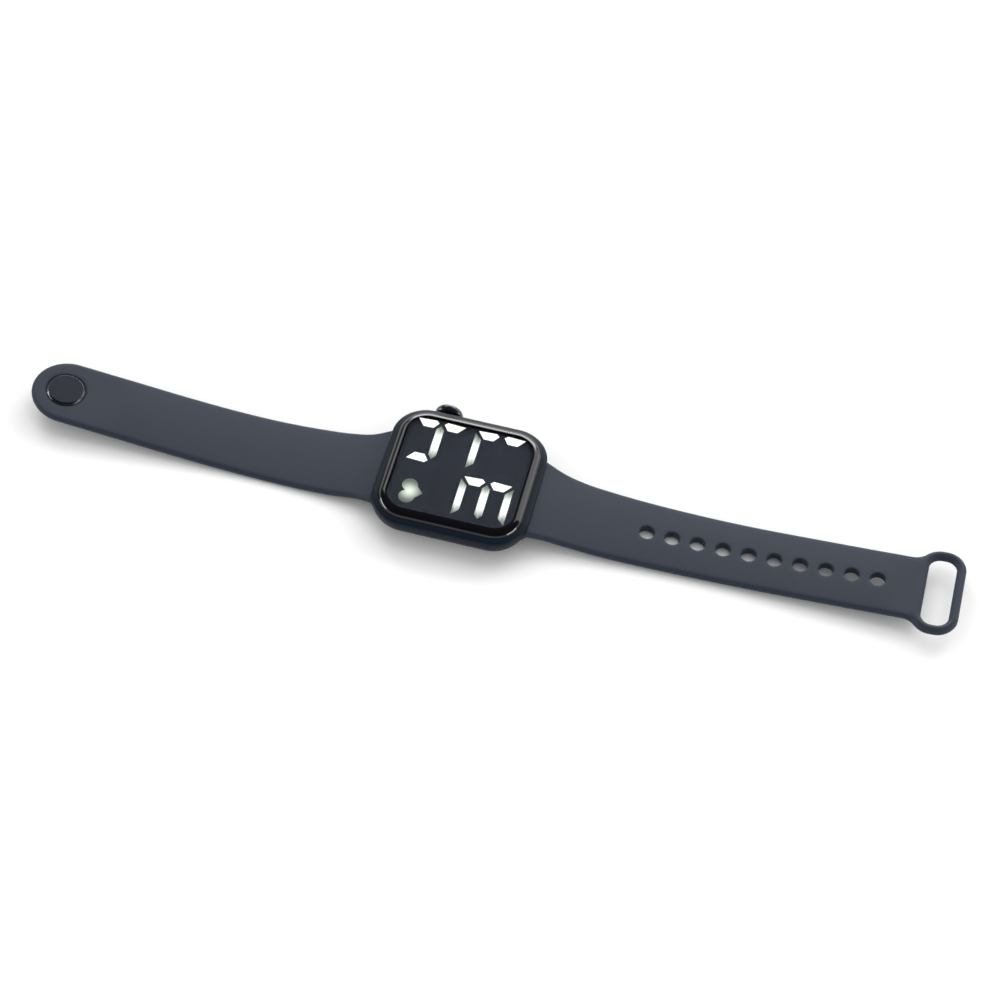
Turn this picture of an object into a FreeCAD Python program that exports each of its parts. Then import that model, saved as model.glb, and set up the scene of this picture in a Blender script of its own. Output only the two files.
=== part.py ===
"""Square LED wristwatch with a silicone stud-and-hole band, laid open on a table.

Millimetres, +Z up. The origin is the middle of the back cover's flat underside.
+X runs along the half of the band with holes, -X along the half with the stud,
and +Y points to the crown.
"""
import FreeCAD, Part
import math
import os

V = FreeCAD.Vector

# Case, seen from above and from the side
CASE_LENGTH = 42.4
CASE_WIDTH = 39.75
CASE_CORNER = 9.6
CASE_WIDEST = 8.1
CASE_RIM = 9.1
SHOULDER_ROUND = 0.85
SHOULDER_SLOPE = 0.15
CASE_FLOOR = 1.4
END_WALL = 7.1
CAVITY_CORNER = 2.5

# Lens, its tape and the seat that they lie in
LENS_MARGIN = 1.7
LENS_TOP = 10.6
LENS_EDGE_RUN = 2.25
LENS_EDGE_DROP = 1.45
LENS_RIM = 0.65
LENS_PANE = 0.85
TAPE = 0.1
TAPE_INSET = 0.25
SEAT_GAP = 0.05

# Display: segment mask, board and light sources
MASK_INSET = 2.4
MASK_CORNER = 3.6
MASK_GAP = 0.05
MASK_SKIRT = 0.4
LED_ROOM = 0.45
BOARD = 0.6
BOARD_END_INSET = 1.2
BOARD_SIDE_INSET = 0.28
BOARD_CORNER = 4.3
BOARD_SEAT = 7.6
LED_SIZE = (1.2, 0.8, 0.4)

# Figures: two rows of two fill the mask inside these margins; a figure's top points to -X
TOP_MARGIN = 1.33
FOOT_MARGIN = 2.11
LEFT_MARGIN = 0.57
RIGHT_MARGIN = 0.37
ROW_GAP = 2.28
FIGURE_GAP = 1.32

# Segments of a figure, inward from its outline or outward from its middle line
BAR_THICK = 1.87
BAR_TIP_IN = 1.22
BAR_ROOT_IN = 3.17
SIDE_THICK = 2.67
SIDE_END_IN = 0.67
SIDE_SLOPE_IN = 2.47
SIDE_CORNER = 0.28
SIDE_POINT = 0.74
SIDE_POINT_IN = 0.82
SIDE_NEAR_OUT = 1.52
SIDE_NEAR_IN = 1.97
MID_HALF = 1.03
MID_END_IN = 2.87
MID_TIP_IN = 1.52

# Heart, from the middle of the fourth figure's place
HEART_OFFSET = (-3.05, -1.72)
HEART_LOBE = 2.1
HEART_LOBE_PITCH = 3.92
HEART_POINT = 3.9

# Electronics under the board
CHIP = (5.0, 5.0, 0.9)
CHIP_AT = (-3.0, -3.2)
CRYSTAL_RADIUS = 1.0
CRYSTAL_LENGTH = 6.0
CRYSTAL_AT = (2.0, -4.0)
RESISTOR = (1.6, 0.8, 0.5)
RESISTOR_PITCH = 1.6
RESISTOR_COUNT = 5
RESISTOR_AT = (-6.6, 4.0)
CAPACITOR = (1.6, 0.9, 0.9)
CAPACITOR_PITCH = 2.2
CAPACITOR_COUNT = 3
CAPACITOR_AT = (6.0, 3.8)

# Coin cell, its holder and contacts
CELL_RADIUS = 10.0
CELL_HEIGHT = 2.5
CELL_GAP = 0.1
HOLDER_GAP = 0.1
HOLDER_TOP = 7.0
HOLDER_WINDOW = 9.2
HOLDER_POST = 0.9
CLIP_STRIP = 0.25
CLIP_WIDTH = 3.5
CLIP_GAP = 0.1
CONTACT_STRIP = 0.2
CONTACT_LENGTH = 8.0
CONTACT_WIDTH = 2.5

# Back cover, screws and gasket
BACK_PLATE = 1.0
BACK_INSET = 7.7
BACK_CORNER = 2.9
BACK_CHAMFER = 0.4
BACK_PLUG = 0.8
BACK_OPENING = 10.7
PLUG_GAP = 0.1
INSULATOR = 0.2
GASKET_INNER = 11.0
GASKET_WIDTH = 0.8
GASKET_DEPTH = 0.5
GASKET_GAP = 0.05
SCREW_INSET = 2.05
SCREW_HEAD = 1.15
SCREW_HEAD_HEIGHT = 0.5
SCREW_SHANK = 0.6
SCREW_DEPTH = 2.2
SCREW_SINK = 0.1
SCREW_SLOT = 0.3
BOSS_WALL = 0.9

# Crown on the side at +Y, pressed in to work the switch
CROWN_X = -8.35
CROWN_Z = 5.5
CROWN_RADIUS = 3.85
CROWN_DEPTH = 2.4
CROWN_DOME = 0.3
CROWN_EDGE = 0.45
CROWN_STAND_OFF = 0.65
CROWN_TRAVEL = 0.5
STEM_RADIUS = 0.9
STEM_IN_CAP = 0.9
STEM_NECK = 0.6
RUN_GAP = 0.05
SLEEVE_WALL = 0.75
SLEEVE_SINK = 1.88
SLEEVE_FLANGE = 0.4
SPRING_POCKET = 2.3
CAP_POCKET = 0.8
CROWN_SPRING_RADIUS = 1.5
CROWN_WIRE = 0.15
CROWN_TURNS = 5
ORING_SECTION = 0.2
CLIP_RING = 0.25
CLIP_RING_RADIUS = 1.5
SWITCH = (4.4, 1.9)
SWITCH_DROP = 3.2
PLUNGER_RADIUS = 0.7
PLUNGER_OUT = 0.7
PLUNGER_IN = 0.2

# Spring bars that carry the band
BAR_INSET = 3.3
BAR_Z = 4.7
BAR_RADIUS = 0.75
BAR_WALL = 0.2
BAR_END_WALL = 0.3
BAR_SIDE_GAP = 0.9
TIP_RADIUS = 0.4
TIP_REACH = 1.1
TIP_TRAVEL = 1.2
TIP_PLUNGER = 7.5
BAR_WIRE = 0.1
BAR_SPRING_TURNS = 8

# Band, both halves
HOLE_HALF_WIDTH = 20.0
STUD_HALF_WIDTH = 19.7
BAND_THICK = 2.0
BAND_END_WIDTH = 25.1
BAND_EDGE = 0.8
KNUCKLE_RADIUS = 2.55
BAND_THICK_AT_CASE = 2.5
KNUCKLE_GAP = 0.25
BAND_SIDE_GAP = 0.25

# Top line of each half: distance from the spring bar, height above the table
HOLE_HALF_TOP = ((3.2, 7.25), (8.3, 5.5), (14.7, 4.05), (22.0, 3.17), (32.5, 2.65), (45.1, 2.54),
                 (59.8, 2.87), (74.5, 3.7), (89.2, 4.7), (106.2, 6.0))
STUD_HALF_TOP = ((3.2, 6.5), (8.3, 4.5), (14.7, 3.05), (22.0, 2.35), (32.5, 2.03), (45.1, 2.41),
                 (59.8, 3.58), (74.5, 5.13), (89.2, 6.68), (100.45, 7.9))
# Half widths at the first stations, where the band flares to the case
HOLE_HALF_FLARE = (12.54, 11.45, 10.88, 10.7, 10.4, 10.15)
STUD_HALF_FLARE = (12.3, 11.04, 10.66, 10.45, 10.13, 9.93)

# Adjusting holes and keeper loop of the +X half
HOLE_RADIUS = 2.07
HOLE_PITCH = 6.86
HOLE_COUNT = 10
FIRST_HOLE = 33.4
LOOP_CENTRE = 111.2
LOOP_HEIGHT = 5.35
LOOP_SLOPE = 4.4
LOOP_STRAIGHT = 15.6
LOOP_SPREAD = 1.0
LOOP_BEND = 4.41
LOOP_WIRE = 1.28
LOOP_FLARE = 5.0

# Stud of the -X half
STUD_FROM_TIP = 9.15
STUD_RADIUS = 5.15
STUD_FLAT = 4.8
STUD_HEIGHT = 0.55
STUD_BEVEL = 0.4
STUD_SINK = 0.35
STUD_SINK_GAP = 0.28
STUD_SHANK = 1.2
PEG_COLLAR = 3.2
PEG_COLLAR_HEIGHT = 0.3
PEG_NECK = 1.95
PEG_NECK_LENGTH = 2.2
PEG_HEAD = 2.85
PEG_HEAD_HEIGHT = 1.3
PEG_ROUND = 0.6

# Levels and half sizes that follow from the sizes above
HALF_X = CASE_LENGTH / 2
HALF_Y = CASE_WIDTH / 2
AXIS_X = HALF_X - CASE_CORNER
AXIS_Y = HALF_Y - CASE_CORNER
LENS_REACH = CASE_CORNER - LENS_MARGIN
CAVITY_LENGTH = CASE_LENGTH - 2 * END_WALL
CAVITY_WIDTH = CASE_WIDTH - 2 * END_WALL
MASK_LENGTH = CASE_LENGTH - 2 * (LENS_MARGIN + MASK_INSET)
MASK_WIDTH = CASE_WIDTH - 2 * (LENS_MARGIN + MASK_INSET)
BOARD_LENGTH = MASK_LENGTH - 2 * BOARD_END_INSET
BOARD_WIDTH = MASK_WIDTH - 2 * BOARD_SIDE_INSET
BACK_LENGTH = CASE_LENGTH - 2 * BACK_INSET
BACK_WIDTH = CASE_WIDTH - 2 * BACK_INSET
BAR_OUT = (MASK_LENGTH - TOP_MARGIN - FOOT_MARGIN - ROW_GAP) / 4
SIDE_OUT = (MASK_WIDTH - LEFT_MARGIN - RIGHT_MARGIN - FIGURE_GAP) / 4
TOP_ROW = -MASK_LENGTH / 2 + TOP_MARGIN + BAR_OUT
LOW_ROW = MASK_LENGTH / 2 - FOOT_MARGIN - BAR_OUT
LEFT_FIGURE = -MASK_WIDTH / 2 + LEFT_MARGIN + SIDE_OUT
RIGHT_FIGURE = MASK_WIDTH / 2 - RIGHT_MARGIN - SIDE_OUT
HEART_X = TOP_ROW + HEART_OFFSET[0]
HEART_Y = LEFT_FIGURE + HEART_OFFSET[1]
LENS_UNDER = LENS_TOP - LENS_EDGE_DROP - LENS_RIM
SHELF = LENS_UNDER - TAPE
PANE_UNDER = LENS_TOP - LENS_PANE
BOARD_TOP = BOARD_SEAT + BOARD
MASK_UNDER = BOARD_TOP + LED_ROOM
MASK_TOP = PANE_UNDER - MASK_GAP
FLOOR_TOP = BACK_PLATE + CASE_FLOOR
CELL_UNDER = FLOOR_TOP + HOLDER_GAP + CELL_GAP
CELL_TOP = CELL_UNDER + CELL_HEIGHT
CAVITY_HALF_Y = CAVITY_WIDTH / 2
RECESS_RADIUS = KNUCKLE_RADIUS + KNUCKLE_GAP
RECESS_HALF = BAND_END_WIDTH / 2 + BAND_SIDE_GAP
BAR_X = HALF_X - BAR_INSET
BAR_HALF = RECESS_HALF - BAR_SIDE_GAP
CROWN_INNER = HALF_Y + CROWN_STAND_OFF
SLEEVE_RADIUS = STEM_RADIUS + RUN_GAP + SLEEVE_WALL
SLEEVE_END = HALF_Y - SLEEVE_SINK
STEM_END = CAVITY_HALF_Y - 2 * RUN_GAP - 2 * CLIP_RING
SWITCH_FRONT = STEM_END - PLUNGER_OUT


# Shapes used by several pieces
def box(x0, x1, y0, y1, z0, z1):
    return Part.makeBox(x1 - x0, y1 - y0, z1 - z0, V(x0, y0, z0))


def rod(radius, start, end):
    """Cylinder between two points."""
    along = end - start
    return Part.makeCylinder(radius, along.Length, start, along)


def slab(length, width, corner, z0, z1):
    """Flat block with rounded corners, centred on the Z axis."""
    block = box(-length / 2, length / 2, -width / 2, width / 2, z0, z1)
    upright = [edge for edge in block.Edges if edge.BoundBox.ZLength > (z1 - z0) / 2]
    return block.makeFillet(corner, upright)


def line(a, b):
    return Part.LineSegment(a, b).toShape()


def arc_about(centre, radius, start, end):
    """Arc in the XZ plane from one angle to another, in degrees, about a centre."""
    spots = []
    for angle in (start, (start + end) / 2, end):
        turn = math.radians(angle)
        spots.append(centre + V(radius * math.cos(turn), 0, radius * math.sin(turn)))
    return Part.Arc(*spots).toShape()


def polygon(points, z0, z1):
    """Upright prism over a list of (x, y) corners."""
    corners = [V(x, y, z0) for x, y in points]
    face = Part.Face(Part.makePolygon(corners + corners[:1]))
    return face.extrude(V(0, 0, z1 - z0))


def join(solids):
    return solids[0].fuse(solids[1:]).removeSplitter()


def carry_round(section, axis_x, axis_y, core=None):
    """Carry a side section round a rounded rectangle.

    The section is a face in the XZ plane, its x measured outward from the corner axes.
    """
    up = V(0, 0, 1)
    starts = ((axis_x, -axis_y), (axis_x, axis_y), (-axis_x, axis_y), (-axis_x, -axis_y))
    runs = (V(0, 2 * axis_y, 0), V(-2 * axis_x, 0, 0), V(0, -2 * axis_y, 0), V(2 * axis_x, 0, 0))
    solids = [] if core is None else [core]
    for quarter in range(4):
        turned = section.copy()
        turned.rotate(V(0, 0, 0), up, 90 * quarter)
        side = turned.copy()
        side.translate(V(*starts[quarter], 0))
        solids.append(side.extrude(runs[quarter]))
        corner = V(*starts[(quarter + 1) % 4], 0)
        turned.translate(corner)
        solids.append(turned.revolve(corner, up, 90))
    return join(solids)


def coil(radius, wire, turns, start, end):
    """Round wire wound at an even pitch between two points on the Y axis direction."""
    height = (end - start).Length - 2 * wire
    path = Part.Wire(Part.makeLongHelix(height / turns, height, radius).Edges)
    ring = Part.Wire(Part.makeCircle(wire, V(radius, 0, 0), V(0, 1, 0)))
    wound = path.makePipeShell([ring], True, True)
    wound.translate(V(0, 0, wire))
    wound.rotate(V(0, 0, 0), V(1, 0, 0), -90)
    wound.translate(start)
    return wound


# Case
def case_section():
    """Half section of the case side, from the corner axis outward."""
    flank = CASE_WIDEST - BACK_PLATE
    flank_axis = V(CASE_CORNER - flank, 0, CASE_WIDEST)
    shoulder_axis = V(CASE_CORNER - SHOULDER_ROUND, 0, CASE_WIDEST)
    shoulder_top = shoulder_axis + V(0, 0, SHOULDER_ROUND)
    rim_edge = V(LENS_REACH, 0, CASE_RIM)
    outline = [
        line(V(0, 0, BACK_PLATE), V(CASE_CORNER - flank, 0, BACK_PLATE)),
        arc_about(flank_axis, flank, -90, 0),
        arc_about(shoulder_axis, SHOULDER_ROUND, 0, 90),
        line(shoulder_top, rim_edge),
        line(rim_edge, V(0, 0, CASE_RIM)),
        line(V(0, 0, CASE_RIM), V(0, 0, BACK_PLATE)),
    ]
    return Part.Face(Part.Wire(outline))


def band_recess(side):
    """Space at one end of the case that the band's knuckle turns in."""
    axis_a = V(side * BAR_X, -RECESS_HALF, BAR_Z)
    axis_b = V(side * BAR_X, RECESS_HALF, BAR_Z)
    round_back = rod(RECESS_RADIUS, axis_a, axis_b)
    near = side * (BAR_X - RECESS_RADIUS)
    middle = side * BAR_X
    far = side * (HALF_X + CASE_CORNER)
    below = box(min(near, far), max(near, far), -RECESS_HALF, RECESS_HALF, -BACK_PLATE, BAR_Z)
    outside = box(min(middle, far), max(middle, far), -RECESS_HALF, RECESS_HALF,
                  -BACK_PLATE, BAR_Z + RECESS_RADIUS)
    return join([round_back, below, outside])


def screw_spots():
    x = BACK_LENGTH / 2 - SCREW_INSET
    y = BACK_WIDTH / 2 - SCREW_INSET
    return [(x, y), (-x, y), (-x, -y), (x, -y)]


def case_body():
    core = box(-AXIS_X, AXIS_X, -AXIS_Y, AXIS_Y, BACK_PLATE, CASE_RIM)
    body = carry_round(case_section(), AXIS_X, AXIS_Y, core)
    seat = 2 * SEAT_GAP
    lens_corner = LENS_REACH + SEAT_GAP
    cuts = [
        slab(CASE_LENGTH - 2 * LENS_MARGIN + seat, CASE_WIDTH - 2 * LENS_MARGIN + seat, lens_corner,
             SHELF, LENS_TOP),
        slab(BOARD_LENGTH + 2 * HOLDER_GAP, BOARD_WIDTH + 2 * HOLDER_GAP, BOARD_CORNER, BOARD_SEAT, LENS_TOP),
        slab(CAVITY_LENGTH, CAVITY_WIDTH, CAVITY_CORNER, FLOOR_TOP, LENS_TOP),
        rod(BACK_OPENING, V(0, 0, 0), V(0, 0, LENS_TOP)),
        rod(GASKET_INNER + GASKET_WIDTH, V(0, 0, 0), V(0, 0, BACK_PLATE + GASKET_DEPTH)).cut(
            rod(GASKET_INNER, V(0, 0, 0), V(0, 0, BACK_PLATE + GASKET_DEPTH))),
        band_recess(1),
        band_recess(-1),
        rod(SLEEVE_RADIUS, V(CROWN_X, 0, CROWN_Z), V(CROWN_X, SLEEVE_END, CROWN_Z)),
        rod(SPRING_POCKET, V(CROWN_X, SLEEVE_END, CROWN_Z), V(CROWN_X, HALF_Y + CROWN_DEPTH, CROWN_Z)),
    ]
    for side in (1, -1):
        reach = RECESS_HALF + TIP_REACH + RUN_GAP
        cuts.append(rod(TIP_RADIUS + RUN_GAP, V(side * BAR_X, -reach, BAR_Z), V(side * BAR_X, reach, BAR_Z)))
    body = body.cut(cuts)
    boss_top = BACK_PLATE + SCREW_DEPTH + BOSS_WALL
    bosses = [rod(SCREW_SHANK + BOSS_WALL, V(x, y, FLOOR_TOP), V(x, y, boss_top)) for x, y in screw_spots()]
    pilots = [rod(SCREW_SHANK, V(x, y, 0), V(x, y, BACK_PLATE + SCREW_DEPTH)) for x, y in screw_spots()]
    return body.fuse(bosses).cut(pilots).removeSplitter()


# Lens and tape
def lens():
    run = LENS_EDGE_RUN
    drop = LENS_EDGE_DROP
    round_over = (run * run + drop * drop) / (2 * drop)
    edge_axis = V(LENS_REACH - run, 0, LENS_TOP - round_over)
    edge_top = V(LENS_REACH - run, 0, LENS_TOP)
    edge_low = V(LENS_REACH, 0, LENS_TOP - drop)
    edge_angle = math.degrees(math.atan2(edge_low.z - edge_axis.z, run))
    outline = [
        line(V(0, 0, LENS_UNDER), V(LENS_REACH, 0, LENS_UNDER)),
        line(V(LENS_REACH, 0, LENS_UNDER), edge_low),
        arc_about(edge_axis, round_over, edge_angle, 90),
        line(edge_top, V(0, 0, LENS_TOP)),
        line(V(0, 0, LENS_TOP), V(0, 0, LENS_UNDER)),
    ]
    core = box(-AXIS_X, AXIS_X, -AXIS_Y, AXIS_Y, LENS_UNDER, LENS_TOP)
    solid = carry_round(Part.Face(Part.Wire(outline)), AXIS_X, AXIS_Y, core)
    wider = 2 * MASK_GAP
    pocket = slab(MASK_LENGTH + wider, MASK_WIDTH + wider, MASK_CORNER, LENS_UNDER - TAPE, PANE_UNDER)
    return solid.cut(pocket)


def lens_tape():
    edge = 2 * (LENS_MARGIN + TAPE_INSET)
    outer = slab(CASE_LENGTH - edge, CASE_WIDTH - edge, LENS_REACH - TAPE_INSET, SHELF, LENS_UNDER)
    wider = 2 * TAPE_INSET
    inner = slab(MASK_LENGTH + wider, MASK_WIDTH + wider, MASK_CORNER + TAPE_INSET, SHELF, LENS_UNDER)
    return outer.cut(inner)


# Display
def bar_outline():
    """Top bar of a figure, a trapezoid. The figure's top points to -X."""
    tip = SIDE_OUT - BAR_TIP_IN
    root = SIDE_OUT - BAR_ROOT_IN
    inner = BAR_THICK - BAR_OUT
    return [(-BAR_OUT, -tip), (-BAR_OUT, tip), (inner, root), (inner, -root)]


def side_outline():
    """Upper right side of a figure, cut on the slant at one end and pointed at the other."""
    inner = SIDE_OUT - SIDE_THICK
    return [(SIDE_END_IN - BAR_OUT, SIDE_OUT - SIDE_CORNER), (-SIDE_NEAR_OUT, SIDE_OUT),
            (-SIDE_POINT, SIDE_OUT - SIDE_POINT_IN), (-SIDE_NEAR_IN, inner),
            (SIDE_SLOPE_IN - BAR_OUT, inner)]


def middle_outline():
    tip = SIDE_OUT - MID_TIP_IN
    end = SIDE_OUT - MID_END_IN
    return [(0, tip), (MID_HALF, end), (MID_HALF, -end), (0, -tip), (-MID_HALF, -end), (-MID_HALF, end)]


def mirrored(outline, flip_x, flip_y):
    return [(flip_x * x, flip_y * y) for x, y in outline]


SEGMENTS = {
    "a": mirrored(bar_outline(), 1, 1),
    "b": mirrored(side_outline(), 1, 1),
    "c": mirrored(side_outline(), -1, 1),
    "d": mirrored(bar_outline(), -1, 1),
    "e": mirrored(side_outline(), -1, -1),
    "f": mirrored(side_outline(), 1, -1),
    "g": middle_outline(),
}
FIGURES = {
    "4": (TOP_ROW, RIGHT_FIGURE, "bcfg"),
    "7": (LOW_ROW, RIGHT_FIGURE, "abc"),
    "3": (LOW_ROW, LEFT_FIGURE, "abcdg"),
}


def segments(lit):
    """Light windows of the three figures that are lit, or that are dark."""
    solids = []
    for centre_x, centre_y, shown in FIGURES.values():
        for name, outline in SEGMENTS.items():
            if (name in shown) == lit:
                placed = [(centre_x + x, centre_y + y) for x, y in outline]
                solids.append(polygon(placed, MASK_UNDER, MASK_TOP))
    return Part.makeCompound(solids)


def heart_icon():
    """Two round lobes and a point that leads to +X."""
    x = HEART_X
    y = HEART_Y
    half = HEART_LOBE_PITCH / 2
    lobes = [rod(HEART_LOBE, V(x, y + side * half, MASK_UNDER), V(x, y + side * half, MASK_TOP))
             for side in (1, -1)]
    tip = (x + HEART_POINT, y)
    away = math.hypot(HEART_POINT, half)
    lean = math.atan2(half, HEART_POINT) + math.acos(HEART_LOBE / away) - math.pi
    touch_x = x - HEART_LOBE * math.cos(lean)
    touch_y = half - HEART_LOBE * math.sin(lean)
    point = polygon([tip, (touch_x, y + touch_y), (x, y), (touch_x, y - touch_y)], MASK_UNDER, MASK_TOP)
    return join(lobes + [point])


def display_mask():
    plate = slab(MASK_LENGTH, MASK_WIDTH, MASK_CORNER, MASK_UNDER, MASK_TOP)
    skirt = slab(BOARD_LENGTH, BOARD_WIDTH, BOARD_CORNER, BOARD_TOP, MASK_UNDER)
    hollow = slab(BOARD_LENGTH - 2 * MASK_SKIRT, BOARD_WIDTH - 2 * MASK_SKIRT, BOARD_CORNER - MASK_SKIRT,
                  BOARD_TOP, MASK_UNDER)
    windows = [segments(True), segments(False), heart_icon()]
    return plate.fuse(skirt.cut(hollow)).cut(windows)


def board():
    return slab(BOARD_LENGTH, BOARD_WIDTH, BOARD_CORNER, BOARD_SEAT, BOARD_TOP)


def block_at(size, centre_x, centre_y, z0):
    length, width, height = size
    return box(centre_x - length / 2, centre_x + length / 2, centre_y - width / 2, centre_y + width / 2,
               z0, z0 + height)


def leds():
    """One light source under each segment, and two under the heart."""
    solids = []
    for centre_x, centre_y, _ in FIGURES.values():
        for outline in SEGMENTS.values():
            mid_x = sum(x for x, _ in outline) / len(outline)
            mid_y = sum(y for _, y in outline) / len(outline)
            solids.append(block_at(LED_SIZE, centre_x + mid_x, centre_y + mid_y, BOARD_TOP))
    for side in (1, -1):
        solids.append(block_at(LED_SIZE, HEART_X, HEART_Y + side * HEART_LOBE_PITCH / 2, BOARD_TOP))
    return Part.makeCompound(solids)


# Electronics under the board
def controller_chip():
    return block_at(CHIP, *CHIP_AT, BOARD_SEAT - CHIP[2])


def crystal():
    x, y = CRYSTAL_AT
    height = BOARD_SEAT - CRYSTAL_RADIUS
    half = CRYSTAL_LENGTH / 2
    return rod(CRYSTAL_RADIUS, V(x, y - half, height), V(x, y + half, height))


def row(size, count, pitch, start):
    solids = [block_at(size, start[0], start[1] - pitch * index, BOARD_SEAT - size[2]) for index in range(count)]
    return Part.makeCompound(solids)


def resistors():
    return row(RESISTOR, RESISTOR_COUNT, RESISTOR_PITCH, RESISTOR_AT)


def capacitors():
    return row(CAPACITOR, CAPACITOR_COUNT, CAPACITOR_PITCH, CAPACITOR_AT)


def switch_bore(radius, depth):
    return rod(radius, V(CROWN_X, SWITCH_FRONT - depth, CROWN_Z), V(CROWN_X, SWITCH_FRONT, CROWN_Z))


def tact_switch():
    length, width = SWITCH
    body = box(CROWN_X - length / 2, CROWN_X + length / 2, SWITCH_FRONT - width, SWITCH_FRONT,
               BOARD_SEAT - SWITCH_DROP, BOARD_SEAT)
    return body.cut(switch_bore(PLUNGER_RADIUS + RUN_GAP, PLUNGER_IN + CROWN_TRAVEL + RUN_GAP))


def switch_plunger():
    return rod(PLUNGER_RADIUS, V(CROWN_X, SWITCH_FRONT - PLUNGER_IN, CROWN_Z), V(CROWN_X, STEM_END, CROWN_Z))


# Coin cell and its contacts
def coin_cell():
    can = rod(CELL_RADIUS, V(0, 0, CELL_UNDER), V(0, 0, CELL_TOP))
    rims = [edge for edge in can.Edges if edge.BoundBox.ZLength < CELL_GAP]
    return can.makeFillet(CELL_GAP, rims)


def battery_clip(strip=CLIP_STRIP, gap=0.0):
    """Positive spring strip under the cell, its two ends turned up to the board."""
    inner = CELL_RADIUS + CELL_GAP + CLIP_GAP
    outer = inner + strip
    half = CLIP_WIDTH / 2 + gap
    base = box(-outer, outer, -half, half, CELL_UNDER - strip, CELL_UNDER)
    ends = [box(inner, outer, -half, half, CELL_UNDER - strip, BOARD_SEAT),
            box(-outer, -inner, -half, half, CELL_UNDER - strip, BOARD_SEAT)]
    return join([base] + ends)


def negative_contact():
    half = CONTACT_LENGTH / 2
    side = CONTACT_WIDTH / 2
    leaf = box(-half, half, -side, side, CELL_TOP, CELL_TOP + CONTACT_STRIP)
    leg = box(half, half + CONTACT_STRIP, -side, side, CELL_TOP, BOARD_SEAT)
    return join([leaf, leg])


def battery_holder():
    under = FLOOR_TOP + HOLDER_GAP
    gap = 2 * HOLDER_GAP
    frame = slab(CAVITY_LENGTH - gap, CAVITY_WIDTH - gap, CAVITY_CORNER - HOLDER_GAP, under, HOLDER_TOP)
    inner = CELL_RADIUS + CELL_GAP + CLIP_GAP
    outer = inner + CLIP_STRIP
    half = CLIP_WIDTH / 2 + CLIP_GAP
    length, width = SWITCH
    pocket_under = CROWN_Z - CLIP_RING_RADIUS - HOLDER_GAP
    cuts = [
        rod(CELL_RADIUS + CELL_GAP, V(0, 0, under), V(0, 0, CELL_TOP + CELL_GAP)),
        rod(HOLDER_WINDOW, V(0, 0, under), V(0, 0, HOLDER_TOP)),
        box(CROWN_X - length / 2 - HOLDER_GAP, CROWN_X + length / 2 + HOLDER_GAP,
            SWITCH_FRONT - width - HOLDER_GAP, CAVITY_HALF_Y, pocket_under, HOLDER_TOP),
    ]
    for side in (1, -1):
        near = side * (CELL_RADIUS - CLIP_GAP)
        far = side * (outer + CLIP_GAP)
        cuts.append(box(min(near, far), max(near, far), -half, half, under, HOLDER_TOP))
    boss_top = BACK_PLATE + SCREW_DEPTH + BOSS_WALL + HOLDER_GAP
    for x, y in screw_spots():
        cuts.append(rod(SCREW_SHANK + BOSS_WALL + HOLDER_GAP, V(x, y, under), V(x, y, boss_top)))
    posts = [rod(HOLDER_POST, V(x, y, HOLDER_TOP - HOLDER_POST), V(x, y, BOARD_SEAT))
             for x, y in screw_spots() if x > 0 or y < 0]
    return frame.cut(cuts).fuse(posts).removeSplitter()


# Back cover
def back_cover():
    plate = slab(BACK_LENGTH, BACK_WIDTH, BACK_CORNER, 0, BACK_PLATE)
    under_rim = [edge for edge in plate.Edges if edge.BoundBox.ZMax < BACK_CHAMFER]
    plate = plate.makeChamfer(BACK_CHAMFER, under_rim)
    plug = rod(BACK_OPENING - PLUG_GAP, V(0, 0, BACK_PLATE), V(0, 0, BACK_PLATE + BACK_PLUG))
    head_top = SCREW_SINK + SCREW_HEAD_HEIGHT
    holes = []
    for x, y in screw_spots():
        holes.append(rod(SCREW_HEAD + RUN_GAP, V(x, y, 0), V(x, y, head_top)))
        holes.append(rod(SCREW_SHANK + RUN_GAP, V(x, y, 0), V(x, y, BACK_PLATE)))
    return plate.fuse(plug).removeSplitter().cut(holes)


def back_screws():
    solids = []
    head_top = SCREW_SINK + SCREW_HEAD_HEIGHT
    for x, y in screw_spots():
        head = rod(SCREW_HEAD, V(x, y, SCREW_SINK), V(x, y, head_top))
        shank = rod(SCREW_SHANK, V(x, y, head_top), V(x, y, BACK_PLATE + SCREW_DEPTH))
        slot = box(x - SCREW_HEAD, x + SCREW_HEAD, y - SCREW_SLOT / 2, y + SCREW_SLOT / 2,
                   SCREW_SINK, SCREW_SINK + SCREW_HEAD_HEIGHT / 2)
        solids.append(head.fuse(shank).removeSplitter().cut(slot))
    return Part.makeCompound(solids)


def back_gasket():
    top = BACK_PLATE + GASKET_DEPTH
    outer = rod(GASKET_INNER + GASKET_WIDTH - GASKET_GAP, V(0, 0, BACK_PLATE), V(0, 0, top))
    return outer.cut(rod(GASKET_INNER + GASKET_GAP, V(0, 0, BACK_PLATE), V(0, 0, top)))


def insulator_disc():
    base = BACK_PLATE + BACK_PLUG
    return rod(CELL_RADIUS - CELL_GAP, V(0, 0, base), V(0, 0, base + INSULATOR))


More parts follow.
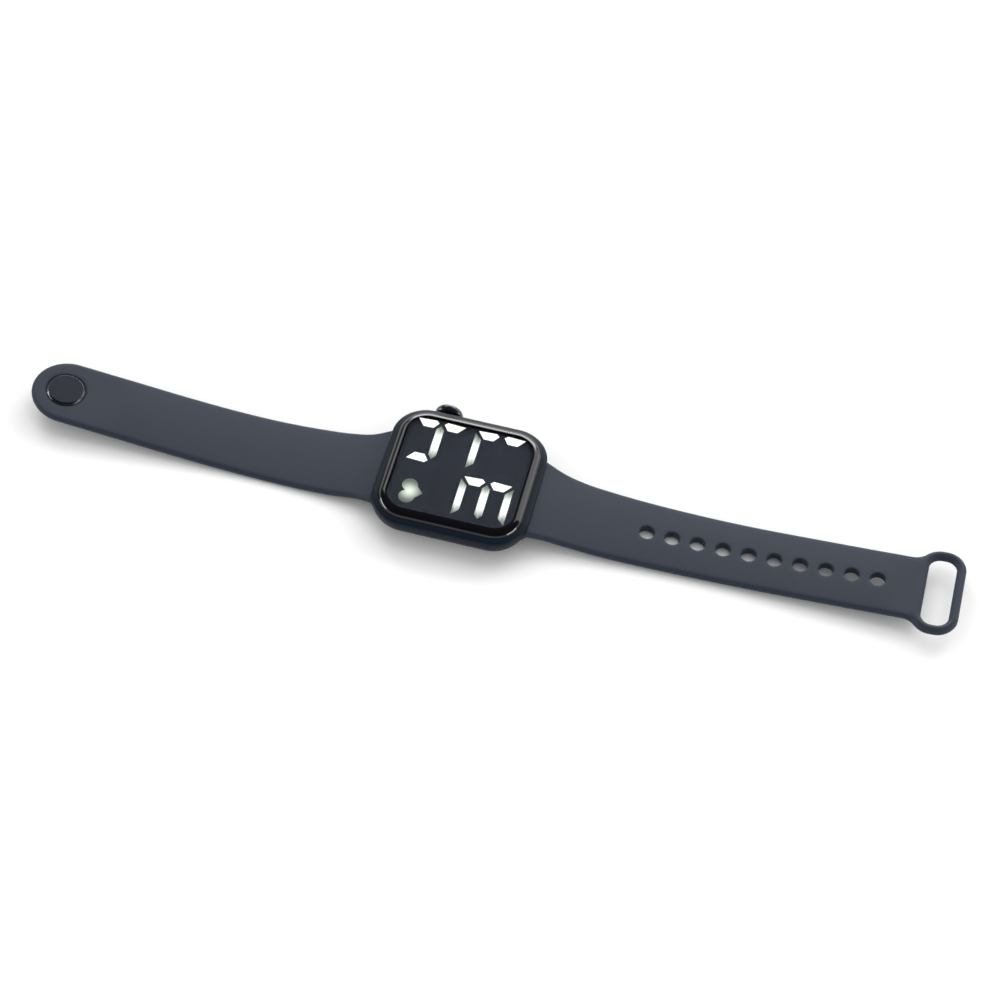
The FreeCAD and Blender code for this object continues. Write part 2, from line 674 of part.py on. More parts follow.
# Crown
def crown_cap():
    """Domed button, turned about its own axis, with a pocket for the return spring."""
    rim = CROWN_INNER + CROWN_DEPTH
    flat = CROWN_RADIUS - CROWN_EDGE
    dome = (flat * flat + CROWN_DOME * CROWN_DOME) / (2 * CROWN_DOME)
    dome_axis = V(0, 0, rim + CROWN_DOME - dome)
    dome_start = math.degrees(math.asin((rim - dome_axis.z) / dome))
    outline = [
        line(V(0, 0, CROWN_INNER), V(flat, 0, CROWN_INNER)),
        arc_about(V(flat, 0, CROWN_INNER + CROWN_EDGE), CROWN_EDGE, -90, 0),
        line(V(CROWN_RADIUS, 0, CROWN_INNER + CROWN_EDGE), V(CROWN_RADIUS, 0, rim - CROWN_EDGE)),
        arc_about(V(flat, 0, rim - CROWN_EDGE), CROWN_EDGE, 0, 90),
        arc_about(dome_axis, dome, dome_start, 90),
        line(V(0, 0, rim + CROWN_DOME), V(0, 0, CROWN_INNER)),
    ]
    cap = Part.Face(Part.Wire(outline)).revolve(V(0, 0, 0), V(0, 0, 1), 360)
    cap.rotate(V(0, 0, 0), V(1, 0, 0), -90)
    cap.translate(V(CROWN_X, 0, CROWN_Z))
    pocket_end = CROWN_INNER + CAP_POCKET
    pocket = rod(SPRING_POCKET, V(CROWN_X, CROWN_INNER, CROWN_Z), V(CROWN_X, pocket_end, CROWN_Z))
    bore = rod(STEM_RADIUS, V(CROWN_X, CROWN_INNER, CROWN_Z), V(CROWN_X, pocket_end + STEM_IN_CAP, CROWN_Z))
    return cap.cut([pocket, bore])


def ring_on_crown(outer, inner, y0, y1):
    tube = rod(outer, V(CROWN_X, y0, CROWN_Z), V(CROWN_X, y1, CROWN_Z))
    return tube.cut(rod(inner, V(CROWN_X, y0, CROWN_Z), V(CROWN_X, y1, CROWN_Z)))


def clip_span():
    outer = CAVITY_HALF_Y - RUN_GAP
    return outer - CLIP_RING, outer


def crown_stem():
    y0, y1 = clip_span()
    top = CROWN_INNER + CAP_POCKET + STEM_IN_CAP
    stem = rod(STEM_RADIUS, V(CROWN_X, STEM_END, CROWN_Z), V(CROWN_X, top, CROWN_Z))
    return stem.cut(ring_on_crown(CLIP_RING_RADIUS, STEM_NECK, y0, y1))


def crown_clip():
    """Open snap ring in the stem's groove."""
    y0, y1 = clip_span()
    ring = ring_on_crown(CLIP_RING_RADIUS, STEM_NECK, y0, y1)
    mouth = box(CROWN_X - STEM_NECK, CROWN_X + STEM_NECK, y0, y1, CROWN_Z - CLIP_RING_RADIUS, CROWN_Z)
    return ring.cut(mouth)


def oring_middle():
    return (CAVITY_HALF_Y + SLEEVE_END) / 2


def crown_sleeve():
    bore = STEM_RADIUS + RUN_GAP
    tube = ring_on_crown(SLEEVE_RADIUS, bore, CAVITY_HALF_Y, SLEEVE_END)
    flange = ring_on_crown(SPRING_POCKET - RUN_GAP, bore, SLEEVE_END, SLEEVE_END + SLEEVE_FLANGE)
    groove = ring_on_crown(bore + 2 * ORING_SECTION, bore, oring_middle() - 2 * ORING_SECTION,
                           oring_middle() + 2 * ORING_SECTION)
    return join([tube, flange]).cut(groove)


def crown_oring():
    middle = STEM_RADIUS + ORING_SECTION + RUN_GAP / 2
    ring = Part.makeTorus(middle, ORING_SECTION)
    ring.rotate(V(0, 0, 0), V(1, 0, 0), 90)
    ring.translate(V(CROWN_X, oring_middle(), CROWN_Z))
    return ring


def crown_spring():
    start = V(CROWN_X, SLEEVE_END + SLEEVE_FLANGE, CROWN_Z)
    end = V(CROWN_X, CROWN_INNER + CAP_POCKET, CROWN_Z)
    return coil(CROWN_SPRING_RADIUS, CROWN_WIRE, CROWN_TURNS, start, end)


# Spring bars
def bar_tube(side):
    bore = BAR_RADIUS - BAR_WALL
    x = side * BAR_X
    tube = rod(BAR_RADIUS, V(x, -BAR_HALF, BAR_Z), V(x, BAR_HALF, BAR_Z))
    inner = BAR_HALF - BAR_END_WALL
    tube = tube.cut(rod(bore, V(x, -inner, BAR_Z), V(x, inner, BAR_Z)))
    return tube.cut(rod(TIP_RADIUS + RUN_GAP / 2, V(x, -BAR_HALF, BAR_Z), V(x, BAR_HALF, BAR_Z)))


def bar_tip(side, end):
    """Sprung pin: a plunger held in the tube and a thin end that enters the case."""
    x = side * BAR_X
    seat = BAR_HALF - BAR_END_WALL - RUN_GAP
    plunger = rod(BAR_RADIUS - BAR_WALL - RUN_GAP, V(x, end * (seat - TIP_PLUNGER), BAR_Z), V(x, end * seat, BAR_Z))
    pin = rod(TIP_RADIUS, V(x, end * seat, BAR_Z), V(x, end * (RECESS_HALF + TIP_REACH), BAR_Z))
    return join([plunger, pin])


def bar_spring(side):
    reach = BAR_HALF - BAR_END_WALL - RUN_GAP - TIP_PLUNGER
    radius = BAR_RADIUS - BAR_WALL - RUN_GAP - BAR_WIRE
    return coil(radius, BAR_WIRE, BAR_SPRING_TURNS, V(side * BAR_X, -reach, BAR_Z), V(side * BAR_X, reach, BAR_Z))


# Band
def top_curve(stations):
    """Smooth line along the band's upper face, x measured from the case middle."""
    curve = Part.BSplineCurve()
    curve.interpolate([V(BAR_X + run, 0, height) for run, height in stations])
    return curve


def side_profile(stations):
    """Side view of one half of the band, from the case's edge to the tip."""
    top = top_curve(stations)
    thick = [BAND_THICK_AT_CASE] + [BAND_THICK] * (len(stations) - 1)
    points = [V(BAR_X + run, 0, height - depth) for (run, height), depth in zip(stations, thick)]
    under = Part.BSplineCurve()
    under.interpolate(points)
    outline = [
        top.toShape(),
        line(top.EndPoint, points[-1]),
        under.toShape(),
        line(points[0], top.StartPoint),
    ]
    return Part.Face(Part.Wire(Part.sortEdges(outline)[0]))


def knuckle(stations, half):
    """End of the band inside the case, round the spring bar."""
    bar = V(BAR_X, 0, BAR_Z)
    run, height = stations[0]
    upper = V(BAR_X + run, 0, height)
    lower = upper - V(0, 0, BAND_THICK_AT_CASE)
    reach = lower - bar
    leaves = math.atan2(reach.z, reach.x) - math.acos(KNUCKLE_RADIUS / reach.Length)
    leave_point = bar + V(math.cos(leaves), 0, math.sin(leaves)) * KNUCKLE_RADIUS
    outline = [
        line(bar + V(0, 0, KNUCKLE_RADIUS), upper),
        line(upper, lower),
        line(lower, leave_point),
        arc_about(bar, KNUCKLE_RADIUS, 360 + math.degrees(leaves), 90),
    ]
    face = Part.Face(Part.Wire(outline))
    face.translate(V(0, -half, 0))
    return face.extrude(V(0, 2 * half, 0))


def plan_prism(stations, flare, upper_end, end_edges):
    """Upright prism over the plan view: the +Y edge from the case to the tip, and its mirror image."""
    points = [V(BAR_X + station[0], half, 0) for station, half in zip(stations, flare)]
    points.append(V(BAR_X + stations[len(flare)][0], upper_end.y, 0))
    side = Part.BSplineCurve()
    side.interpolate(points, InitialTangent=(points[1] - points[0]).normalize(), FinalTangent=V(1, 0, 0))
    edges = [side.toShape(), line(points[-1], upper_end)] + end_edges
    edges += [edge.mirror(V(0, 0, 0), V(0, 1, 0)) for edge in edges]
    edges.append(line(points[0], V(points[0].x, -points[0].y, 0)))
    face = Part.Face(Part.Wire(Part.sortEdges(edges)[0]))
    face.translate(V(0, 0, -BAND_THICK))
    return face.extrude(V(0, 0, LENS_TOP + 2 * BAND_THICK))


def rounded_long_edges(solid):
    """Round the upper and lower edges that follow the plan outline."""
    edges = []
    for edge in solid.Edges:
        room = edge.BoundBox
        along_y = room.XLength < BAND_EDGE and room.ZLength < BAND_EDGE
        upright = room.XLength < BAND_EDGE and room.YLength < BAND_EDGE
        if not along_y and not upright:
            edges.append(edge)
    return solid.makeFillet(BAND_EDGE, edges)


def band_blank(stations, flare, upper_end, end_edges):
    profile = side_profile(stations)
    profile.translate(V(0, -BAND_END_WIDTH, 0))
    strip = profile.extrude(V(0, 2 * BAND_END_WIDTH, 0))
    strip = strip.common(plan_prism(stations, flare, upper_end, end_edges)).removeSplitter()
    return rounded_long_edges(strip).fuse(knuckle(stations, flare[0]))


def bar_bore():
    reach = BAND_END_WIDTH
    return rod(BAR_RADIUS + 2 * RUN_GAP, V(BAR_X, -reach, BAR_Z), V(BAR_X, reach, BAR_Z))


def place_on(curve, run):
    """Point on the band's top and its upward direction, a distance along X from the bar."""
    at = curve.parameter(V(BAR_X + run, 0, 0))
    point = curve.value(at)
    forward = curve.tangent(at)[0]
    return point, V(-forward.z, 0, forward.x)


def hole_axes():
    """Mouth centre and upward axis of every adjusting hole."""
    curve = top_curve(HOLE_HALF_TOP)
    axes = []
    run = FIRST_HOLE
    for _ in range(HOLE_COUNT):
        point, up = place_on(curve, run)
        axes.append((point, up))
        run += HOLE_PITCH * up.z
    return axes


def keeper_loop():
    """Round-edged loop at the end of the band, tilted with it."""
    section = Part.Face(Part.Wire(Part.makeCircle(LOOP_WIRE, V(LOOP_BEND, 0, 0), V(0, 1, 0))))
    ring = carry_round(section, LOOP_SPREAD / 2, LOOP_STRAIGHT / 2)
    ring.rotate(V(0, 0, 0), V(0, 1, 0), -LOOP_SLOPE)
    ring.translate(V(BAR_X + LOOP_CENTRE, 0, LOOP_HEIGHT))
    return ring


def strap_holes():
    half = HOLE_HALF_WIDTH / 2
    corner = V(BAR_X + LOOP_CENTRE - LOOP_SPREAD / 2, LOOP_STRAIGHT / 2, 0)
    outer = LOOP_BEND + LOOP_WIRE
    rise = half + LOOP_FLARE - corner.y
    run = math.sqrt((outer + LOOP_FLARE) ** 2 - rise ** 2)
    flare_axis = V(corner.x - run, half + LOOP_FLARE, 0)
    start = V(flare_axis.x, half, 0)
    to_loop = (corner - flare_axis).normalize()
    end = flare_axis + to_loop * LOOP_FLARE
    down = V(0, -1, 0)
    middle = flare_axis + (to_loop + down).normalize() * LOOP_FLARE
    inside = corner - to_loop * LOOP_BEND
    limb = V(corner.x - LOOP_BEND, corner.y, 0)
    end_edges = [
        Part.Arc(start, middle, end).toShape(),
        line(end, inside),
        line(inside, limb),
        line(limb, V(limb.x, 0, 0)),
    ]
    blank = band_blank(HOLE_HALF_TOP, HOLE_HALF_FLARE, start, end_edges)
    cuts = [bar_bore()]
    for point, up in hole_axes():
        cuts.append(rod(HOLE_RADIUS, point - up * 2 * BAND_THICK, point + up * BAND_THICK))
    return blank.fuse(keeper_loop()).cut(cuts)


def tip_run():
    return STUD_HALF_TOP[-1][0]


def stud_place():
    return place_on(top_curve(STUD_HALF_TOP), tip_run() - STUD_FROM_TIP)


def strap_stud():
    half = STUD_HALF_WIDTH / 2
    tip = BAR_X + tip_run()
    start = V(tip - half, half, 0)
    middle = V(tip - half + half * math.cos(math.pi / 4), half * math.sin(math.pi / 4), 0)
    end_edges = [Part.Arc(start, middle, V(tip, 0, 0)).toShape()]
    blank = band_blank(STUD_HALF_TOP, STUD_HALF_FLARE, start, end_edges)
    point, up = stud_place()
    cuts = [
        bar_bore(),
        rod(STUD_SHANK, point - up * 2 * BAND_THICK, point + up * BAND_THICK),
        rod(STUD_RADIUS + STUD_SINK_GAP, point - up * STUD_SINK, point + up * BAND_THICK),
        rod(PEG_COLLAR, point - up * 2 * BAND_THICK, point - up * (BAND_THICK - PEG_COLLAR_HEIGHT)),
    ]
    solid = blank.cut(cuts)
    return solid.mirror(V(0, 0, 0), V(1, 0, 0))


def turned_on_stud(outline):
    """Solid of revolution drawn about Z with z = 0 on the band's top face, set on the stud's place."""
    solid = Part.Face(Part.Wire(outline)).revolve(V(0, 0, 0), V(0, 0, 1), 360)
    point, up = stud_place()
    solid.Placement = FreeCAD.Placement(point, FreeCAD.Rotation(V(0, 0, 1), up))
    return solid.mirror(V(0, 0, 0), V(1, 0, 0))


def path(points):
    """Closed polygon of (radius, height) corners in the XZ plane."""
    spots = [V(radius, 0, height) for radius, height in points]
    return Part.makePolygon(spots + spots[:1]).Edges


def stud_cap():
    low = -STUD_SINK
    shank_end = -(BAND_THICK - PEG_COLLAR_HEIGHT) - PEG_NECK_LENGTH / 2 - PEG_COLLAR_HEIGHT
    top = STUD_HEIGHT
    return turned_on_stud(path([(0, top), (STUD_FLAT, top), (STUD_RADIUS, top - STUD_BEVEL), (STUD_RADIUS, low),
                                (STUD_SHANK, low), (STUD_SHANK, shank_end), (0, shank_end)]))


def stud_peg():
    """Collar, neck and mushroom head under the band, pressed on the cap's shank."""
    collar_top = -(BAND_THICK - PEG_COLLAR_HEIGHT)
    under = collar_top - PEG_COLLAR_HEIGHT
    bore_end = collar_top - PEG_NECK_LENGTH / 2 - PEG_COLLAR_HEIGHT
    head_top = under - PEG_NECK_LENGTH
    end = head_top - PEG_HEAD_HEIGHT
    return turned_on_stud(path([(STUD_SHANK, collar_top), (PEG_COLLAR, collar_top), (PEG_COLLAR, under),
                                (PEG_NECK, under), (PEG_NECK, head_top), (PEG_HEAD, head_top),
                                (PEG_HEAD, end + PEG_ROUND), (PEG_HEAD - PEG_ROUND, end), (0, end),
                                (0, bore_end), (STUD_SHANK, bore_end)]))


NODES = {
    "case_body": case_body,
    "lens": lens,
    "lens_tape": lens_tape,
    "display_mask": display_mask,
    "segments_lit": lambda: segments(True),
    "segments_dark": lambda: segments(False),
    "heart_icon": heart_icon,
    "display_leds": leds,
    "main_board": board,
    "controller_chip": controller_chip,
    "crystal": crystal,
    "resistors": resistors,
    "capacitors": capacitors,
    "tact_switch": tact_switch,
    "switch_plunger": switch_plunger,
    "coin_cell": coin_cell,
    "battery_clip": battery_clip,
    "negative_contact": negative_contact,
    "battery_holder": battery_holder,
    "back_cover": back_cover,
    "back_screws": back_screws,
    "back_gasket": back_gasket,
    "insulator_disc": insulator_disc,
    "crown_cap": crown_cap,
    "crown_stem": crown_stem,
    "crown_clip": crown_clip,
    "crown_sleeve": crown_sleeve,
    "crown_oring": crown_oring,
    "crown_spring": crown_spring,
    "strap_holes": strap_holes,
    "strap_stud": strap_stud,
    "stud_cap": stud_cap,
    "stud_peg": stud_peg,
}
for bar_name, bar_side in (("hole_bar", 1), ("stud_bar", -1)):
    NODES[bar_name + "_tube"] = lambda side=bar_side: bar_tube(side)
    NODES[bar_name + "_spring"] = lambda side=bar_side: bar_spring(side)
    NODES[bar_name + "_tip_crown_side"] = lambda side=bar_side: bar_tip(side, 1)
    NODES[bar_name + "_tip_far_side"] = lambda side=bar_side: bar_tip(side, -1)

os.makedirs("parts", exist_ok=True)
for node, make in NODES.items():
    shape = make()
    shape.exportStep(f"parts/{node}.step")
    print(node, len(shape.Solids), shape.isValid(), round(shape.Volume, 3))
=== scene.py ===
import math
import bpy
import bmesh
import numpy as np
from mathutils import Matrix, Vector
from mathutils.geometry import delaunay_2d_cdt


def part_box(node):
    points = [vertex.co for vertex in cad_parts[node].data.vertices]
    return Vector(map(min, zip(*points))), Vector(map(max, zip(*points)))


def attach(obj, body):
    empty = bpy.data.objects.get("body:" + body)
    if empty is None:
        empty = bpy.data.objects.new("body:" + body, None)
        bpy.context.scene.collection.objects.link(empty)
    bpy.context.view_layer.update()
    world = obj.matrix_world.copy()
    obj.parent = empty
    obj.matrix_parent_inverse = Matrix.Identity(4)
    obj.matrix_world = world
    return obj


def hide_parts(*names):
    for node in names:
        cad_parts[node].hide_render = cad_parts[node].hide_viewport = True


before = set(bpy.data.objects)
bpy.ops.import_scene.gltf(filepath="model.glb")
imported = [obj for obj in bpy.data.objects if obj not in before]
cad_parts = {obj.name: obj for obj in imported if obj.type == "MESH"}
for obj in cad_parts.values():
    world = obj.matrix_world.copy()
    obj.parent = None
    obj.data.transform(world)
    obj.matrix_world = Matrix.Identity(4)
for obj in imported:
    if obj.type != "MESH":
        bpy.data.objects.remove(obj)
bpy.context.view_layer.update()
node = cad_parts

# Camera: the watch lies open on a white table with its band spread to both sides.
# The camera stands in front, a little to the right, and looks steeply down.
camera_data = bpy.data.cameras.new("camera")
camera = bpy.data.objects.new("camera", camera_data)
bpy.context.scene.collection.objects.link(camera)
bpy.context.scene.camera = camera
camera_right = Vector((0.9702, 0.2347, 0.0602))
camera_up = Vector((-0.2219, 0.7608, 0.6098))
camera_back = camera_right.cross(camera_up)
turn = Matrix((camera_right, camera_up, camera_back)).transposed()
camera_place = (0.0845, -0.4550, 0.5966)
camera.matrix_world = Matrix.Translation(camera_place) @ turn.to_4x4()
camera_data.lens = 101.8
camera_data.clip_start = 0.05
camera_data.clip_end = 20.0
bpy.context.scene.view_settings.view_transform = "Standard"

# White card under the watch, wide enough to fill every view, smooth and matt.
# It stays white where the light reaches it and keeps the soft grey shadow, lightened by painted light in
# front of the watch. It clears away while a half of the band hangs down past it.
def shader_of(finish):
    return finish.node_tree.nodes["Principled BSDF"]


def plain_finish(name, colour, roughness, metal=0.0):
    finish = bpy.data.materials.new(name)
    finish.use_nodes = True
    shader = shader_of(finish)
    shader.inputs["Base Color"].default_value = (*colour, 1)
    shader.inputs["Roughness"].default_value = roughness
    shader.inputs["Metallic"].default_value = metal
    return finish


def add(finish, kind, **settings):
    """New node in a finish, with its settings or the values of its sockets."""
    made = finish.node_tree.nodes.new(kind)
    for key, value in settings.items():
        if hasattr(made, key):
            setattr(made, key, value)
        else:
            made.inputs[key.replace("_", " ")].default_value = value
    return made


def wire_up(finish, source, target):
    finish.node_tree.links.new(source, target)


def worked(finish, operation, first, second):
    """Result of one step of arithmetic on two numbers or sockets."""
    step = add(finish, "ShaderNodeMath", operation=operation)
    for socket, value in zip(step.inputs, (first, second)):
        if isinstance(value, (int, float)):
            socket.default_value = value
        else:
            wire_up(finish, value, socket)
    return step.outputs["Value"]


def ramp(finish, start, end):
    """Colour ramp between two colours."""
    tones = add(finish, "ShaderNodeValToRGB")
    for stop, colour in zip(tones.color_ramp.elements, (start, end)):
        stop.color = (*colour, 1)
    return tones


card_size = 4.0
card_drop = 0.00005
card_near = 0.012
card_far = 0.24
card_squeeze = 0.12
clear_turn = 0.1
table_mesh = bpy.data.meshes.new("table")
table = bpy.data.objects.new("table", table_mesh)
bpy.context.scene.collection.objects.link(table)
card = bmesh.new()
bmesh.ops.create_grid(card, x_segments=8, y_segments=8, size=card_size)
card.to_mesh(table_mesh)
card.free()
table.location.z = -card_drop
card_finish = plain_finish("white_card", (0.915, 0.915, 0.92), 0.95)
card_shader = shader_of(card_finish)
card_shader.inputs["Specular IOR Level"].default_value = 0.1
card_mottle = add(card_finish, "ShaderNodeTexNoise", Scale=60.0)
card_tone = ramp(card_finish, (0.905, 0.905, 0.91), (0.925, 0.925, 0.93))
wire_up(card_finish, card_mottle.outputs["Fac"], card_tone.inputs["Fac"])
wire_up(card_finish, card_tone.outputs["Color"], card_shader.inputs["Base Color"])

# Painted light on the card, seen by the camera alone: a white glow that rises with the distance from a point
# just behind the watch, so it lifts the shadow in front of the watch more than under the band, and leaves the
# far card plain white.
card_place = add(card_finish, "ShaderNodeTexCoord")
card_across = add(card_finish, "ShaderNodeVectorMath", operation="MULTIPLY_ADD")
card_across.inputs[1].default_value = (card_squeeze, 1, 0)
card_across.inputs[2].default_value = (0, -card_near, 0)
card_away = add(card_finish, "ShaderNodeVectorMath", operation="LENGTH")
painted_light_rise = add(card_finish, "ShaderNodeMapRange", From_Min=card_near, From_Max=card_far)
card_seen = add(card_finish, "ShaderNodeLightPath").outputs["Is Camera Ray"]
wire_up(card_finish, card_place.outputs["Object"], card_across.inputs[0])
wire_up(card_finish, card_across.outputs["Vector"], card_away.inputs[0])
wire_up(card_finish, card_away.outputs["Value"], painted_light_rise.inputs["Value"])
# The painted light's strength: the camera-only glow times its rise with distance from the watch.
painted_light_strength = worked(card_finish, "MULTIPLY", card_seen, painted_light_rise.outputs["Result"])
card_shader.inputs["Emission Color"].default_value = (1, 1, 1, 1)
wire_up(card_finish, painted_light_strength, card_shader.inputs["Emission Strength"])
card_open = add(card_finish, "ShaderNodeMath", operation="MAXIMUM")
card_gone = add(card_finish, "ShaderNodeBsdfTransparent")
card_mix = add(card_finish, "ShaderNodeMixShader")
card_end = card_finish.node_tree.nodes["Material Output"]
wire_up(card_finish, card_open.outputs["Value"], card_mix.inputs["Fac"])
wire_up(card_finish, card_shader.outputs["BSDF"], card_mix.inputs[1])
wire_up(card_finish, card_gone.outputs["BSDF"], card_mix.inputs[2])
wire_up(card_finish, card_mix.outputs["Shader"], card_end.inputs["Surface"])
table_mesh.materials.append(card_finish)


def clear_card_for(half, bar, socket):
    """Clear the card away once a half of the band has turned on its bar by more than clear_turn.

    The turn is how far the half has carried a place on the card, over that place's distance
    from the bar.
    """
    here = add(card_finish, "ShaderNodeNewGeometry").outputs["Position"]
    on_half = add(card_finish, "ShaderNodeTexCoord", object=half)
    carried = add(card_finish, "ShaderNodeVectorMath", operation="DISTANCE")
    from_bar = add(card_finish, "ShaderNodeVectorMath", operation="MULTIPLY_ADD")
    from_bar.inputs[1].default_value = (1, 0, 1)
    from_bar.inputs[2].default_value = (-bar[0], 0, -bar[1])
    reach = add(card_finish, "ShaderNodeVectorMath", operation="LENGTH")
    wire_up(card_finish, here, carried.inputs[0])
    wire_up(card_finish, on_half.outputs["Object"], carried.inputs[1])
    wire_up(card_finish, here, from_bar.inputs[0])
    wire_up(card_finish, from_bar.outputs["Vector"], reach.inputs[0])
    turned_by = worked(card_finish, "DIVIDE", carried.outputs["Value"], reach.outputs["Value"])
    wire_up(card_finish, worked(card_finish, "GREATER_THAN", turned_by, clear_turn), card_open.inputs[socket])


# Studio light: a wide soft panel high behind the watch, white boxes to the left, right and
# back, two low strips that only gloss sees, a dark ceiling that only gloss and glass see,
# and an even white room all round.
room = bpy.data.worlds.new("room")
bpy.context.scene.world = room
room.use_nodes = True
room_light = room.node_tree.nodes["Background"]
room_light.inputs["Color"].default_value = (1, 1, 1, 1)
room_level = add(room, "ShaderNodeMapRange", To_Min=1.0, To_Max=0.70)
wire_up(room, add(room, "ShaderNodeLightPath").outputs["Is Diffuse Ray"], room_level.inputs["Value"])
wire_up(room, room_level.outputs["Result"], room_light.inputs["Strength"])


def soft_box(name, direction, along, distance, width, height, radiance):
    """Area lamp facing the watch, its width laid along a given direction."""
    lamp = bpy.data.lights.new(name, "AREA")
    lamp.shape = "RECTANGLE"
    lamp.size = width
    lamp.size_y = height
    lamp.energy = radiance * math.pi * width * height
    box = bpy.data.objects.new(name, lamp)
    bpy.context.scene.collection.objects.link(box)
    out = Vector(direction).normalized()
    side = (Vector(along) - out * out.dot(Vector(along))).normalized()
    facing = Matrix((side, out.cross(side), out)).transposed()
    box.matrix_world = Matrix.Translation(out * distance) @ facing.to_4x4()
    box.visible_camera = False
    return box


soft_box("box_left", direction=(-0.50, 0.605, 0.62), along=(0.7, 0, 0.7),
         distance=1.2, width=0.42, height=0.38, radiance=2.6)
soft_box("box_right", direction=(0.50, 0.605, 0.45), along=(0.7, 0, -0.7),
         distance=1.0, width=1.0, height=0.5, radiance=2.2)
box_back = soft_box("box_back", direction=(-0.05, 0.92, 0.38), along=(1, 0, 0),
                    distance=1.5, width=1.3, height=0.72, radiance=8.0)
box_back.visible_diffuse = False
for strip_name, strip_side in (("strip_left", -0.90), ("strip_right", 0.90)):
    strip_box = soft_box(strip_name, direction=(strip_side, -0.20, 0.17), along=(0, 1, 0),
                         distance=1.2, width=0.8, height=0.24, radiance=9.0)
    strip_box.visible_diffuse = False
overhead = soft_box("overhead", direction=(-0.10, 0.40, 0.91), along=(1, 0, 0),
                    distance=2.2, width=2.6, height=2.0, radiance=1.15)
overhead.visible_glossy = False
overhead.visible_transmission = False
ceiling_height = 1.0
ceiling_side = 3.0
ceiling_front = -2.6
ceiling_plan = ((-ceiling_side, ceiling_side), (ceiling_side, ceiling_side),
                (ceiling_side, ceiling_front), (-ceiling_side, ceiling_front))
ceiling_mesh = bpy.data.meshes.new("ceiling")
ceiling_mesh.from_pydata([(x, y, ceiling_height) for x, y in ceiling_plan], [], [(0, 1, 2, 3)])
ceiling = bpy.data.objects.new("ceiling", ceiling_mesh)
bpy.context.scene.collection.objects.link(ceiling)
ceiling.visible_camera = False
ceiling.visible_diffuse = False
ceiling.visible_shadow = False
ceiling_mesh.materials.append(plain_finish("black_cloth", (0.01, 0.01, 0.01), 1.0))

# Back cover: a stainless plate with bevelled edges that closes the case from below.
# It is pressed from sheet, brushed round in circles, and held by four slotted screws.
MM = 0.001
MM_IN_M = 1000


def place_in(finish, stretch=(1, 1, 1)):
    """Coordinates in millimetres, stretched along one way if asked."""
    where = add(finish, "ShaderNodeTexCoord")
    scaled = add(finish, "ShaderNodeVectorMath", operation="MULTIPLY")
    scaled.inputs[1].default_value = [MM_IN_M * amount for amount in stretch]
    wire_up(finish, where.outputs["Object"], scaled.inputs[0])
    return scaled.outputs["Vector"]


def vary(finish, factor, low, high, socket):
    """Run a number of the shader between two values with the middle part of a noise."""
    spread = add(finish, "ShaderNodeMapRange", From_Min=0.3, From_Max=0.7, To_Min=low, To_Max=high)
    wire_up(finish, factor, spread.inputs["Value"])
    wire_up(finish, spread.outputs["Result"], shader_of(finish).inputs[socket])


def tint(finish, factor, dark, light):
    """Run the colour between two shades."""
    blend = add(finish, "ShaderNodeMix", data_type="RGBA")
    blend.inputs[6].default_value = (*dark, 1)
    blend.inputs[7].default_value = (*light, 1)
    wire_up(finish, factor, blend.inputs[0])
    wire_up(finish, blend.outputs[2], shader_of(finish).inputs["Base Color"])


def relief(finish, factor, depth_mm, strength=1.0):
    """Raise the surface with a grain, as a bump of some depth."""
    bump = add(finish, "ShaderNodeBump", Distance=depth_mm * MM, Strength=strength)
    wire_up(finish, factor, bump.inputs["Height"])
    wire_up(finish, bump.outputs["Normal"], shader_of(finish).inputs["Normal"])


def noise(finish, per_mm, detail=3.0, stretch=(1, 1, 1)):
    """Cloudy grain of so many waves in a millimetre."""
    grain = add(finish, "ShaderNodeTexNoise", Scale=per_mm, Detail=detail)
    wire_up(finish, place_in(finish, stretch), grain.inputs["Vector"])
    return grain.outputs["Fac"]


def shade(colour, amount):
    return tuple(channel * amount for channel in colour)


def grained(name, colour, roughness, per_mm, depth_mm, metal=0.0, stretch=(1, 1, 1), swing=0.12):
    """Finish with one grain for its tone, its sheen and its surface."""
    finish = plain_finish(name, colour, roughness, metal)
    grain = noise(finish, per_mm, stretch=stretch)
    tint(finish, grain, shade(colour, 1 - swing), shade(colour, 1 + swing))
    vary(finish, grain, roughness * 0.88, roughness * 1.12, "Roughness")
    relief(finish, grain, depth_mm)
    return finish


def dress(finish, *names):
    """Give CAD nodes this one finish."""
    for name in names:
        slots = node[name].data.materials
        slots.clear()
        slots.append(finish)


brushed_back = plain_finish("brushed_back", (0.50, 0.51, 0.53), 0.32, metal=1.0)
back_rings = add(brushed_back, "ShaderNodeTexWave", wave_type="RINGS", rings_direction="Z", Scale=2.6,
                 Distortion=2.5, Detail=4.0, Detail_Scale=2.0)
wire_up(brushed_back, place_in(brushed_back), back_rings.inputs["Vector"])
tint(brushed_back, back_rings.outputs["Fac"], (0.44, 0.45, 0.47), (0.54, 0.55, 0.57))
vary(brushed_back, back_rings.outputs["Fac"], 0.26, 0.38, "Roughness")
relief(brushed_back, back_rings.outputs["Fac"], 0.004)
dress(brushed_back, "back_cover")
turned_steel = grained("turned_steel", (0.56, 0.56, 0.57), 0.24, 6.0, 0.003, metal=1.0, stretch=(1, 0.2, 1))
dress(turned_steel, "back_screws", "crown_stem", "crown_sleeve")

# Gasket in the case floor and the O-ring on the crown's stem, both black nitrile rubber.
# They are moulded, dull, and squeezed where they seal.
nitrile = grained("nitrile", (0.018, 0.018, 0.019), 0.62, 9.0, 0.006)
dress(nitrile, "back_gasket", "crown_oring")

# Insulating disc on the inside of the back cover: a punched polyester film, slightly amber.
# It lies loose between the cover and the sprung strip of the coin cell.
film = grained("polyester_film", (0.62, 0.55, 0.38), 0.28, 1.2, 0.002, swing=0.05)
dress(film, "insulator_disc")

